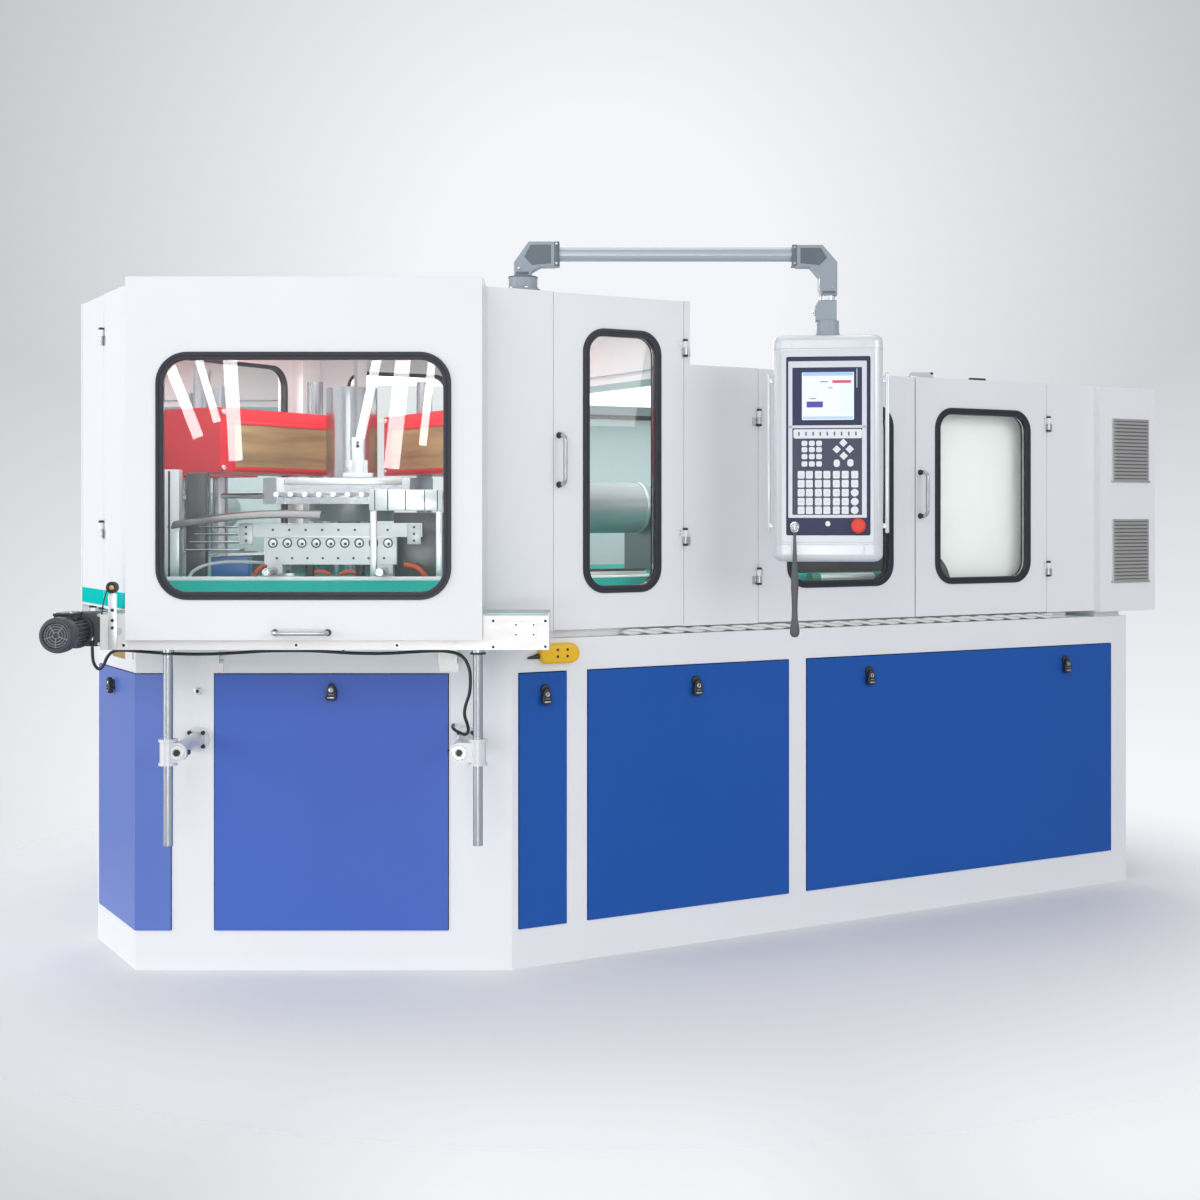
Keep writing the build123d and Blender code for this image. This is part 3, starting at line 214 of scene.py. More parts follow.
# the motor's cable in the face's own directions: along it, outward and up
drive_points = [(-1.295, -0.15, 1.043), (-1.295, -0.15, 1.012), (-1.289, -0.151, 0.986),
                (-1.273, -0.1525, 0.97), (-1.257, -0.156, 0.986), (-1.246, -0.164, 1.012),
                (-1.222, -0.18, 1.033), (-1.18, -0.203, 1.0365), (-1.12, -0.222, 1.033),
                (-1.03, -0.226, 1.027), (-0.925, -0.224, 1.025), (-0.825, -0.226, 1.03),
                (-0.74, -0.225, 1.036), (-0.66, -0.226, 1.0365), (-0.59, -0.225, 1.036),
                (-0.49, -0.226, 1.029), (-0.385, -0.224, 1.027), (-0.3, -0.226, 1.032),
                (-0.235, -0.225, 1.036), (-0.18, -0.226, 1.035), (-0.138, -0.232, 1.022),
                (-0.117, -0.238, 0.985), (-0.114, -0.241, 0.945), (-0.117, -0.24, 0.905),
                (-0.13, -0.237, 0.872), (-0.135, -0.232, 0.84), (-0.125, -0.224, 0.812),
                (-0.122, -0.205, 0.786), (-0.136, -0.165, 0.77), (-0.162, -0.12, 0.774),
                (-0.187, -0.07, 0.782), (-0.187, 0, 0.782)]
drive_points = [tuple(to_face @ Vector(p)) for p in drive_points]
motor_lead = route("motor_lead", drive_points)
motor_lead.data.bevel_depth = 0.005
motor_lead.data.bevel_resolution = 3
motor_lead.data.use_fill_caps = True
motor_lead.data.materials.append(black_sheath)
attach(motor_lead, "machine")
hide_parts("drive_cable")

# Sheet metal of the base and the cabin, folded, welded and powder coated in white. The blue lift-off panels
# hang in the base's openings and share one paint, which is given here in three copies with light and shade
# painted in. The long side's copy is darker, as painted shade. The three panels round the ejection end catch
# the sky and are lighter and more violet, as painted light, and the corner one is lightest, as a painted
# sheen.
white_paint = textured("white powder coat", (0.85, 0.86, 0.875), (0.80, 0.81, 0.83), 0.40, scale=1.6,
                       bump=0.10)
# the same blue three times: darker here as painted shade, lighter and more violet below as painted light and
# sheen
shaded_side_blue = textured("blue powder coat", (0.009, 0.086, 0.375), (0.012, 0.093, 0.398), 0.46, scale=2.2,
                     bump=0.12, specular=0.22)
lit_end_blue = textured("blue powder coat painted lit", (0.054, 0.126, 0.495), (0.062, 0.136, 0.520), 0.44, scale=2.2,
                    bump=0.12, specular=0.32)
sheen_corner_blue = textured("blue powder coat painted sheen", (0.075, 0.152, 0.520), (0.085, 0.162, 0.545), 0.36,
                       scale=2.2, bump=0.08, specular=0.9)


def dress(material, *names):
    """Gives a solid's faces a material."""
    for name in names:
        slots = nodes[name].data.materials
        for i in range(max(1, len(slots))):
            if i < len(slots):
                slots[i] = material
            else:
                slots.append(material)


dress(white_paint, "base_plinth", "base_deck", "base_posts", "guard_panels", "cabin_posts", "rear_walls",
      "electrical_cabinet", "hood_front", "hood_returns", "side_door", "middle_door", "right_door",
      "end_door")
dress(shaded_side_blue, "side_panels")
dress(lit_end_blue, "ejection_panels")
dress(sheen_corner_blue, "corner_panel")

# Bed, stations and barrel inside the cabin. The bed is a welded frame in teal paint, the platens are red;
# the turret runs on hard chromed columns, and its carrier and the injection unit are bare castings.
teal_paint = textured("teal paint", (0.004, 0.50, 0.43), (0.006, 0.43, 0.37), 0.5, scale=5, specular=0.05)
red_paint = textured("red paint", (0.66, 0.020, 0.034), (0.56, 0.016, 0.028), 0.32, scale=4)
cast_steel = textured("cast steel", (0.30, 0.31, 0.32), (0.24, 0.25, 0.26), 0.42, 0.8, scale=7, uneven=0.05,
                      bump=0.15)
hard_chrome = textured("hard chrome", (0.52, 0.53, 0.56), (0.46, 0.47, 0.50), 0.20, 1.0, scale=8, uneven=0.04)
dress(teal_paint, "machine_bed")
dress(red_paint, "upper_platens")
dress(cast_steel, "turret_carrier", "injection_unit")
dress(hard_chrome, "station_columns", "turret_head")

# Hinges, pull handles, core rods, rollers and the key. All are turned or bent from steel and left bright.
# The hinges are screwed on, and the rollers turn in the conveyor's rails.
bright_steel = textured("bright steel", (0.60, 0.61, 0.62), (0.54, 0.55, 0.57), 0.30, 1.0, scale=5,
                        uneven=0.04)
dress(bright_steel, "hinge_bodies", "hood_handle", "side_handle", "right_handle", "core_rods", "drive_roller",
      "idler_roller", "lock_key")


# Windows. A black rubber profile is pressed onto the edge of each opening and holds the pane; a filler
# strip in its face locks it.
class Shape:
    """A mesh that is put together from plates, blocks and turned parts."""

    def __init__(self):
        self.mesh = bmesh.new()

    def take(self, part, material=0, turned_to=None):
        """Adds a part with its faces outward."""
        bmesh.ops.recalc_face_normals(part, faces=part.faces)
        if turned_to:
            part.transform(turned_to)
        for face in part.faces:
            face.material_index = material
        plain = bpy.data.meshes.new("part")
        part.to_mesh(plain)
        part.free()
        self.mesh.from_mesh(plain)
        bpy.data.meshes.remove(plain)

    def loops(self, rows, material=0, ends=False):
        """Joins rows of points, each a closed loop, into a skin."""
        part = bmesh.new()
        rings = [[part.verts.new(p) for p in row] for row in rows]
        count = len(rows[0])
        pairs = list(zip(rings, rings[1:])) + ([] if ends else [(rings[-1], rings[0])])
        for low, high in pairs:
            for i in range(count):
                j = (i + 1) % count
                part.faces.new((low[i], low[j], high[j], high[i]))
        if ends:
            part.faces.new(rings[0])
            part.faces.new(rings[-1])
        self.take(part, material)

    def block(self, low, high, edge=0.0, material=0):
        """A block between two corners, with its edges rounded."""
        part = bmesh.new()
        bmesh.ops.create_cube(part, size=1)
        for v in part.verts:
            v.co = [(a + b) / 2 + c * (b - a) for a, b, c in zip(low, high, v.co)]
        if edge:
            bmesh.ops.bevel(part, geom=part.edges[:], offset=edge, segments=2, profile=0.5, affect="EDGES")
        self.take(part, material)

    def turned(self, profile, at, along=(0, 0, 1), steps=32, material=0):
        """A lathe part: pairs of radius and height along an axis through a point."""
        part = bmesh.new()
        rings = []
        for radius, height in profile:
            if radius:
                ring = [part.verts.new((radius * cos(2 * pi * i / steps), radius * sin(2 * pi * i / steps),
                                        height))
                        for i in range(steps)]
            else:
                ring = [part.verts.new((0, 0, height))] * steps
            rings.append(ring)
        for low, high in zip(rings, rings[1:]):
            for i in range(steps):
                j = (i + 1) % steps
                corners = list(dict.fromkeys((low[i], low[j], high[j], high[i])))
                if len(corners) > 2:
                    part.faces.new(corners)
        turn = Vector((0, 0, 1)).rotation_difference(Vector(along)).to_matrix().to_4x4()
        self.take(part, material, Matrix.Translation(at) @ turn)

    def done(self, name, body, slot, *materials, place=None, sharp=35, instead=None):
        """The finished piece, put in its place, tied to its body and shown instead of its solid."""
        data = bpy.data.meshes.new(name)
        self.mesh.to_mesh(data)
        self.mesh.free()
        if place:
            data.transform(place)
        for material in materials:
            data.materials.append(material)
        for face in data.polygons:
            face.use_smooth = True
        data.set_sharp_from_angle(angle=radians(sharp))
        made = bpy.data.objects.new(name, data)
        scene.collection.objects.link(made)
        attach(made, body)
        if instead:
            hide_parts(instead)


def rounded(x0, x1, z0, z1, radius, y, steps=10):
    """Loop of points round an upright rectangle with round corners, at the depth y."""
    loop = []
    for x, z, start in ((x1 - radius, z1 - radius, 0), (x0 + radius, z1 - radius, 90),
                        (x0 + radius, z0 + radius, 180), (x1 - radius, z0 + radius, 270)):
        for i in range(steps + 1):
            a = radians(start + 90 * i / steps)
            loop.append((x + radius * cos(a), y, z + radius * sin(a)))
    return loop


def blended(tree, share, first, second):
    """Two shaders mixed, by the share of the second."""
    mix = put(tree, "ShaderNodeMixShader", Fac=share)
    tree.links.new(first, mix.inputs[1])
    tree.links.new(second, mix.inputs[2])
    return mix.outputs["Shader"]


rubber = textured("black rubber", (0.010, 0.011, 0.020), (0.022, 0.024, 0.038), 0.44, scale=50, bump=0.1)
clear_glass, pane_surface = shader("clear glass", (0.97, 0.99, 0.98), 0.0)
pane_surface.inputs["Transmission Weight"].default_value = 1
pane_surface.inputs["IOR"].default_value = 1.45
tree = clear_glass.node_tree
open_pane = put(tree, "ShaderNodeBsdfTransparent", Color=(0.93, 0.96, 0.95, 1))
ray = put(tree, "ShaderNodeLightPath")
through = blended(tree, ray.outputs["Is Shadow Ray"], pane_surface.outputs["BSDF"], open_pane.outputs["BSDF"])
tree.links.new(through, tree.nodes["Material Output"].inputs["Surface"])


rubber_width = 0.024
cabin_front, hood_front = -0.842, -0.290


def window(name, node, body, span, bottom, top, radius, front, thick, place=None):
    """A rubber profile and its pane, for an opening in a plate with the given front and thickness."""
    x0, x1 = span
    profile = [(0.000, 0.0), (0.000, -0.004), (0.0015, -0.0058), (0.010, -0.006), (0.011, -0.0046),
               (0.014, -0.0046), (0.015, -0.006), (0.0225, -0.0058), (rubber_width, -0.004),
               (rubber_width, thick), (0.010, thick), (0.010, 0.0)]
    shape = Shape()
    shape.loops([rounded(x0 + i, x1 - i, bottom + i, top - i, radius - i, front + y) for i, y in profile])
    shape.done(name + "_rubber", body, "black_rubber", rubber, place=place, instead=node)
    shape = Shape()
    i = rubber_width + 0.0002
    middle = front + thick / 2
    shape.loops([rounded(x0 + i, x1 - i, bottom + i, top - i, radius - i, middle + y)
                 for y in (-0.0025, 0.0025)], ends=True)
    shape.done(name + "_pane", body, "black_rubber", clear_glass, place=place, instead=node)


def mirrored(matrix):
    """The same place on the machine's other side."""
    return Matrix.Scale(-1, 4, (0, 1, 0)) @ matrix


window("hood_window", "hood_window", "hood", (-1.063, -0.169), 1.195, 1.945, 0.095, hood_front, 0.016,
       to_face)
window("side_window", "side_window", "side_door", (-0.590, -0.290), 1.195, 2.065, 0.080, cabin_front, 0.028)
window("middle_window", "middle_window", "middle_door", (0.230, 0.705), 1.195, 1.850, 0.080, cabin_front,
       0.028)
window("right_window", "right_window", "right_door", (0.903, 1.376), 1.195, 1.850, 0.080, cabin_front, 0.028)
window("blow_window", "rear_windows", "machine", (-1.063, -0.169), 1.195, 2.045, 0.095, -0.050, 0.028,
       mirrored(to_face))
window("rear_window", "rear_windows", "machine", (-0.760, -0.280), 1.195, 2.045, 0.080, cabin_front, 0.028,
       mirrored(Matrix.Identity(4)))

# Raised parts that stand in numbers on one face: keys, screws, slats. Each is a plate with round corners
# and a chamfered front, set on a point of the face; a screw's plate is as round as it is wide.
stud_tree = bpy.data.node_groups.new("raised parts", "GeometryNodeTree")
given, result = size_inputs(stud_tree, "Width", "Height", "Corner", "Depth", "Finish")
outline = put(stud_tree, "GeometryNodeCurvePrimitiveQuadrilateral", Width=given.outputs["Width"],
              Height=given.outputs["Height"])
eased = put(stud_tree, "GeometryNodeFilletCurve", {"mode": "POLY"}, Count=4, Limit_Radius=True,
            Curve=outline.outputs["Curve"], Radius=given.outputs["Corner"])
plate = put(stud_tree, "GeometryNodeFillCurve", {"mode": "NGONS"}, Curve=eased.outputs["Curve"])
body_part = put(stud_tree, "GeometryNodeExtrudeMesh", Mesh=plate.outputs["Mesh"],
                Offset_Scale=reckon(stud_tree, "MULTIPLY", given.outputs["Depth"], 0.7))
crown = put(stud_tree, "GeometryNodeExtrudeMesh", Mesh=body_part.outputs["Mesh"],
            Selection=body_part.outputs["Top"],
            Offset_Scale=reckon(stud_tree, "MULTIPLY", given.outputs["Depth"], 0.3))
chamfer = put(stud_tree, "GeometryNodeScaleElements", Scale=0.86, Geometry=crown.outputs["Mesh"],
              Selection=crown.outputs["Top"])
stand = put(stud_tree, "GeometryNodeTransform", Rotation=(radians(90), 0, 0),
            Geometry=chamfer.outputs["Geometry"])
spread = put(stud_tree, "GeometryNodeInstanceOnPoints", Points=given.outputs["Geometry"],
             Instance=stand.outputs["Geometry"])
close_tree(stud_tree, spread.outputs["Instances"], given, result)


def studs(name, body, points, width, height, corner, depth, finish, place=None):
    """Raised parts on points of a face that looks towards -y, moved to their place."""
    base = bpy.data.meshes.new(name + "_points")
    base.from_pydata([tuple(p) for p in points], [], [])
    spots = bpy.data.objects.new(name + "_points", base)
    scene.collection.objects.link(spots)
    made = grown(name, spots, stud_tree, width=width, height=height, corner=corner, depth=depth,
                 finish=finish)
    if place:
        made.data.transform(place)
    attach(made, body)
    return made


# Control panel. A silver cast housing with clamped corner caps carries a bright bezel; in it lies a navy
# membrane with a framed screen, white keys, a key switch, a signal lamp and the red stop button.
to_panel = Matrix.Translation((0.09496, -1.2505, 0)) @ Matrix.Rotation(radians(-37), 4, "Z")
pale_trim = textured("pale trim", (0.74, 0.76, 0.80), (0.68, 0.70, 0.75), 0.32, 0.1, scale=9)
key_white = textured("key white", (0.86, 0.87, 0.90), (0.78, 0.79, 0.84), 0.40, scale=50)
navy_film = textured("navy film", (0.030, 0.036, 0.088), (0.038, 0.045, 0.10), 0.40, scale=12, specular=0.3)
slate_film = textured("slate film", (0.062, 0.070, 0.115), (0.075, 0.084, 0.13), 0.38, scale=14, specular=0.3)
dark_print = textured("dark print", (0.10, 0.10, 0.14), (0.16, 0.16, 0.20), 0.4, scale=80)


def frame_ring(shape, outer, inner, radius, back, front, material=0, ease=0.0012):
    """An upright picture frame: (x0, x1, z0, z1) outside and inside, from its back to its front."""
    rows = []
    for box, r, y in ((outer, radius, back), (outer, radius, front + ease), (outer, radius, front),
                      (inner, radius * 0.6, front), (inner, radius * 0.6, back)):
        x0, x1, z0, z1 = box
        rows.append(rounded(x0, x1, z0, z1, r, y, 5))
    x0, x1, z0, z1 = outer
    rows[2] = rounded(x0 + ease, x1 - ease, z0 + ease, z1 - ease, radius, front, 5)
    shape.loops(rows, material)


def slab(shape, box, radius, back, front, material=0):
    """An upright plate with round corners and a softened front edge."""
    x0, x1, z0, z1 = box
    e = min(0.0012, abs(back - front) / 3)
    shape.loops([rounded(x0, x1, z0, z1, radius, back, 5), rounded(x0, x1, z0, z1, radius, front + e, 5),
                 rounded(x0 + e, x1 - e, z0 + e, z1 - e, radius, front, 5)], material, ends=True)


bezel = Shape()
frame_ring(bezel, (-0.149, 0.147, 1.3634, 1.9800), (-0.1335, 0.1355, 1.386, 1.961), 0.010, -0.075, -0.0835)
bezel.done("panel_bezel", "panel", "panel_silver", pale_trim, place=to_panel)

film = Shape()
slab(film, (-0.135, 0.137, 1.3860, 1.9605), 0.004, -0.0745, -0.0785, 0)
frame_ring(film, (-0.127, 0.124, 1.4420, 1.9470), (-0.1135, 0.1085, 1.4520, 1.9262), 0.003, -0.078, -0.0795,
           1)
slab(film, (-0.127, 0.124, 1.7310, 1.7400), 0.001, -0.078, -0.0795, 1)
slab(film, (-0.1135, 0.1085, 1.4520, 1.7310), 0.002, -0.078, -0.0790, 2)
slab(film, (-0.1102, 0.1082, 1.6978, 1.7274), 0.006, -0.0788, -0.0798, 3)
slab(film, (0.091, 0.0935, 1.86, 1.922), 0.001, -0.078, -0.0787, 1)
film.done("panel_film", "panel", "navy_face", navy_film, pale_trim, slate_film, key_white, place=to_panel,
          instead="panel_face")

key_y, mark_y = -0.0790, -0.0805
number_keys = [(x, key_y, z) for x in (-0.0748, -0.0512, -0.0282) for z in (1.6821, 1.6618, 1.6395, 1.6158)]
studs("number_keys", "panel", number_keys, 0.0185, 0.0170, 0.005, 0.0016, key_white, to_panel)
wide_columns = (-0.0853, -0.0591, -0.0302, -0.0033, 0.0269, 0.0551)
wide_rows = (1.5811, 1.5522, 1.5233, 1.4945, 1.4669)
wide_keys = [(x, key_y, z) for x in wide_columns for z in wide_rows]
wide_keys += [(0.0853, key_y, z) for z in wide_rows[:2]]
studs("function_keys", "panel", wide_keys, 0.0222, 0.0245, 0.0035, 0.0016, key_white, to_panel)
round_keys = [(0.0853, key_y, z) for z in wide_rows[2:]]
studs("start_keys", "panel", round_keys, 0.0250, 0.0250, 0.0125, 0.0018, key_white, to_panel)
arrow_spots = [(0.0492, 1.6834), (0.0282, 1.6625), (0.0696, 1.6630), (0.0505, 1.6415)]
arrow_half = 0.0135
lozenge = ((1, 0), (0.78, 0.22), (0.22, 0.78), (0, 1), (-0.22, 0.78), (-0.78, 0.22), (-1, 0), (-0.78, -0.22),
           (-0.22, -0.78), (0, -1), (0.22, -0.78), (0.78, -0.22))
arrow_keys = Shape()
for x, z in arrow_spots:
    tips = [(x + dx * arrow_half, z + dz * arrow_half) for dx, dz in lozenge]
    arrow_keys.loops([[(a, key_y, b) for a, b in tips], [(a, key_y - 0.0012, b) for a, b in tips],
                      [(x + (a - x) * 0.86, key_y - 0.0017, z + (b - z) * 0.86) for a, b in tips]], ends=True)
arrow_keys.done("arrow_keys", "panel", "navy_face", key_white, place=to_panel)
studs("side_keys", "panel", [(0.0282, key_y, 1.6178), (0.0715, key_y, 1.6190)], 0.0200, 0.0240,
      0.0090, 0.0016, key_white, to_panel)
tick_spots = [(-0.0925 + i * 0.0227, -0.0797, 1.7128) for i in range(9)]
studs("strip_symbols", "panel", tick_spots, 0.0050, 0.0125, 0.0015, 0.0004, dark_print, to_panel)
mark_spots = [(x, mark_y, z) for x, y, z in wide_keys[:30]]
studs("key_symbols", "panel", mark_spots, 0.0090, 0.0035, 0.0005, 0.0003, pale_trim, to_panel)
digit_marks = [(x, mark_y, z) for x, y, z in number_keys]
studs("number_marks", "panel", digit_marks, 0.0030, 0.0065, 0.0008, 0.0003, pale_trim, to_panel)

# Screen of the panel. A flat display lies flush in the membrane behind a thin clear cover and glows a
# little; it shows a pale page with a title bar, a red line and a blue field.
display, glow = shader("screen page", (0.80, 0.84, 0.92), 0.12)
tree = display.node_tree
spot = put(tree, "ShaderNodeTexCoord")
page = put(tree, "ShaderNodeMapping", {"vector_type": "TEXTURE"}, Vector=spot.outputs["Object"],
           Location=to_panel @ Vector((0, -0.081, 1.834)), Rotation=(0, 0, radians(-37)))
axes = put(tree, "ShaderNodeSeparateXYZ", Vector=page.outputs["Vector"])


def within(axis, centre, half):
    """1 where a coordinate is near a centre."""
    return reckon(display.node_tree, "COMPARE", axes.outputs[axis], centre, half)


# each field of the page: its centre, half its width and height, and its colour
page_fields = (
    (0.0, 0.0, 0.083, 0.077, (0.86, 0.89, 0.97)), (0.0, 0.071, 0.080, 0.006, (0.42, 0.60, 0.86)),
    (0.0, -0.070, 0.080, 0.004, (0.50, 0.68, 0.88)), (0.062, 0.0, 0.018, 0.060, (0.80, 0.88, 0.95)),
    (0.044, 0.046, 0.030, 0.0045, (0.72, 0.10, 0.18)), (-0.042, -0.027, 0.026, 0.0095, (0.10, 0.09, 0.42)),
    (-0.012, 0.046, 0.012, 0.002, (0.35, 0.35, 0.45)), (0.008, 0.026, 0.007, 0.0018, (0.40, 0.40, 0.50)),
    (-0.048, -0.008, 0.010, 0.0018, (0.35, 0.35, 0.45)))
shown = (0.80, 0.84, 0.92, 1)
for x, z, wide, tall, colour in page_fields:
    both = reckon(tree, "MULTIPLY", within("X", x, wide), within("Z", z, tall))
    layer = put(tree, "ShaderNodeMix", {"data_type": "RGBA"}, A=shown, B=(*colour, 1), Factor=both)
    shown = layer.outputs["Result"]
tree.links.new(shown, glow.inputs["Base Color"])
tree.links.new(shown, glow.inputs["Emission Color"])
glow.inputs["Emission Strength"].default_value = 0.14
glass_page = Shape()
slab(glass_page, (-0.083, 0.083, 1.757, 1.911), 0.003, -0.0785, -0.0808, 0)
glass_page.done("screen_page", "panel", "screen", display, place=to_panel, instead="panel_screen")

# Switches of the panel: a turned lock with a chrome ring, a white lamp, and the red mushroom of the stop
# button on its black collar. Each is pushed through a hole of the membrane and held by a nut from behind.
black_plastic = textured("black plastic", (0.012, 0.012, 0.013), (0.03, 0.03, 0.03), 0.42, scale=60)
key_x, stop_x, stop_z = -0.106, 0.0965, 1.417
chrome = textured("chrome", (0.80, 0.80, 0.82), (0.70, 0.70, 0.73), 0.14, 1.0, scale=30, uneven=0.04)
lamp_white = textured("lamp lens", (0.88, 0.88, 0.90), (0.80, 0.80, 0.83), 0.22, scale=40)
stop_red = textured("stop red", (0.80, 0.045, 0.022), (0.72, 0.035, 0.018), 0.34, scale=30)
switches = Shape()
switches.turned([(0, 0), (0.0165, 0), (0.0165, 0.003), (0.0145, 0.0055), (0.0120, 0.0060), (0.0115, 0.0045),
                 (0.0030, 0.0045), (0, 0.0045)], (key_x, -0.0780, 1.4145), (0, -1, 0), 40, 0)
switches.turned([(0, 0), (0.0085, 0), (0.0085, 0.002), (0.0070, 0.0035), (0, 0.0042)], (0.0, -0.0780, 1.4236),
                (0, -1, 0), 28, 1)
switches.turned([(0, 0), (0.021, 0), (0.021, 0.0025), (0.0195, 0.004), (0.0125, 0.004), (0, 0.004)],
                (stop_x, -0.0780, stop_z), (0, -1, 0), 40, 2)
switches.done("panel_switches", "panel", "navy_face", chrome, lamp_white, black_plastic, place=to_panel)
button = Shape()
button.turned([(0, -0.0355), (0.011, -0.0355), (0.011, 0.0), (0.0175, 0.0012), (0.0232, 0.0040),
               (0.0240, 0.0068), (0.0232, 0.0100),
               (0.0205, 0.0125), (0.0160, 0.0138), (0.0130, 0.0132), (0.0060, 0.0137), (0, 0.0140)],
              (stop_x, -0.0900, stop_z), (0, -1, 0), 48)
button.done("stop_mushroom", "stop", "stop_red", stop_red, place=to_panel, instead="estop_button")

# Key grip: a steel ring goes round the key's stem, and from it hangs a dark strap of soft plastic that is
# moulded in one piece with its rounded bulb.
grip_y = -0.0878
soft_grip = textured("soft grip", (0.075, 0.078, 0.085), (0.12, 0.125, 0.135), 0.38, scale=30, bump=0.15)
grip = Shape()
grip.turned([(0.0105, -0.0012), (0.0118, -0.0012), (0.0128, 0), (0.0118, 0.0012), (0.0105, 0.0012),
             (0.0100, 0), (0.0105, -0.0012)], (key_x, grip_y, 1.4076), (0, -1, 0), 36, 1)
lean = [(1.3961, 0.0032, 0.0028), (1.392, 0.0040, 0.0040), (1.372, 0.0045, 0.0042), (1.335, 0.0060, 0.0050),
        (1.290, 0.0080, 0.0068), (1.246, 0.0118, 0.0100), (1.215, 0.0120, 0.0100), (1.180, 0.0100, 0.0086),
        (1.150, 0.0092, 0.0080), (1.118, 0.0102, 0.0090), (1.096, 0.0138, 0.0128), (1.080, 0.0160, 0.0150),
        (1.068, 0.0148, 0.0138), (1.0605, 0.0095, 0.0090), (1.0582, 0.0030, 0.0030)]
rows = []
for z, half_x, half_y in lean:
    rows.append([(key_x + half_x * cos(2 * pi * i / 20), grip_y + half_y * sin(2 * pi * i / 20), z)
                 for i in range(20)])
grip.loops(rows, 0, ends=True)
grip.done("key_grip", "panel", "grip_grey", soft_grip, chrome, place=to_panel, sharp=60, instead="key_fob")

# Housing of the panel. A box of painted aluminium sheet with rounded corners is closed by a cast cap above
# and below; thin bright seams part them, and two white grab rails are clamped to its sides.
silver_paint = textured("silver paint", (0.76, 0.785, 0.81), (0.69, 0.715, 0.745), 0.36, 0.25, scale=7,
                        bump=0.08)
rail_white = textured("rail white", (0.80, 0.82, 0.85), (0.72, 0.74, 0.78), 0.30, 0.3, scale=12)
housing_corners = ((0.142, 0.041, 0), (-0.142, 0.041, 90), (-0.142, -0.041, 180), (0.142, -0.041, 270))
corner_radius, half_width, half_depth = 0.034, 0.176, 0.075
shell = Shape()
rows = []
for z, rise, bend in ((1.3010, 1, 0.026), (2.0330, -1, 0.024)):
    cap = []
    for step in range(8):
        a = radians(90 * step / 7)
        cap.append((bend * (1 - sin(a)), z + rise * bend * (1 - cos(a))))
    rows += cap if rise > 0 else cap[::-1]
skin = []
for inward, z in rows:
    ring = []
    for cx, cy, start in housing_corners:
        for i in range(9):
            a = radians(start + 90 * i / 8)
            ring.append(((cx + corner_radius * cos(a)) * (1 - inward / half_width),
                         (cy + corner_radius * sin(a)) * (1 - inward / half_depth), z))
    skin.append(ring)
shell.loops(skin, 0, ends=True)
for side in (-1, 1):
    shell.block((side * 0.1605 - 0.0016, -0.0716, 1.3600), (side * 0.1605 + 0.0016, -0.0670, 1.9840), 0.0007,
                0)
shell.done("panel_shell", "panel", "panel_silver", silver_paint, place=to_panel, sharp=28,
           instead="panel_housing")
caps = Shape()
for z in (1.3560, 1.9880):
    rows = []
    for grow, dz in ((0.0006, -0.0012), (0.0016, -0.0005), (0.0016, 0.0005), (0.0006, 0.0012)):
        ring = []
        for cx, cy, start in housing_corners:
            for i in range(9):
                a = radians(start + 90 * i / 8)
                ring.append((cx + (corner_radius + grow) * cos(a), cy + (corner_radius + grow) * sin(a),
                             z + dz))
        rows.append(ring)
    caps.loops(rows, 0)
for side in (-1, 1):
    for z0, z1 in ((1.302, 1.3548), (1.9892, 2.031)):
        x = side * 0.116
        caps.block((x - 0.0012, -0.0768, z0 + 0.024 * (z0 < 1.5)),
                   (x + 0.0012, -0.0745, z1 - 0.024 * (z0 > 1.5)), 0.0006, 0)
caps.done("cap_seams", "panel", "panel_silver", pale_trim, place=to_panel)
rail_clamps = Shape()
for side in (-1, 1):
    x_wall, x_bar = side * half_width, side * 0.190
    for z in (1.417, 1.888):
        low, high = sorted((x_wall - side * 0.001, x_bar))
        rail_clamps.block((low, -0.037, z - 0.008), (high, -0.023, z + 0.008), 0.002, 0)
    rail_clamps.block((x_bar - 0.0065, -0.0365, 1.393), (x_bar + 0.0065, -0.0235, 1.912), 0.0045, 0)
rail_clamps.done("grab_bars", "panel", "arm_grey", rail_white, place=to_panel, instead="grab_rails")

# Control arm. Two cast grey elbows with screwed lids clamp a pale tube; the far one turns on the coupling
# above the panel, whose slit shows a white bearing ring.
arm_grey = textured("arm grey", (0.29, 0.34, 0.385), (0.34, 0.395, 0.44), 0.42, scale=9, bump=0.1)
tube_paint = textured("tube paint", (0.42, 0.48, 0.54), (0.48, 0.54, 0.60), 0.30, 0.35, scale=6)
lid_grey = textured("lid grey", (0.11, 0.135, 0.16), (0.14, 0.17, 0.20), 0.38, scale=12, bump=0.1)
dress(arm_grey, "arm_foot")
arm_span = 0.993
foot_x, foot_y = -0.765, -0.754
to_arm = Matrix.Translation((foot_x, foot_y, 0)) @ Matrix.Rotation(radians(-30), 4, "Z")


def cast_side(shape, points, half, edge, material=0):
    """A cast body: an upright outline as thick as twice the half, with softened long edges."""
    cx = sum(x for x, z in points) / len(points)
    cz = sum(z for x, z in points) / len(points)
    shrink = 1 - edge / 0.05
    small = [(cx + (x - cx) * shrink, cz + (z - cz) * shrink) for x, z in points]
    shape.loops([[(x, -half, z) for x, z in small], [(x, -half + edge, z) for x, z in points],
                 [(x, half - edge, z) for x, z in points], [(x, half, z) for x, z in small]], material,
                ends=True)


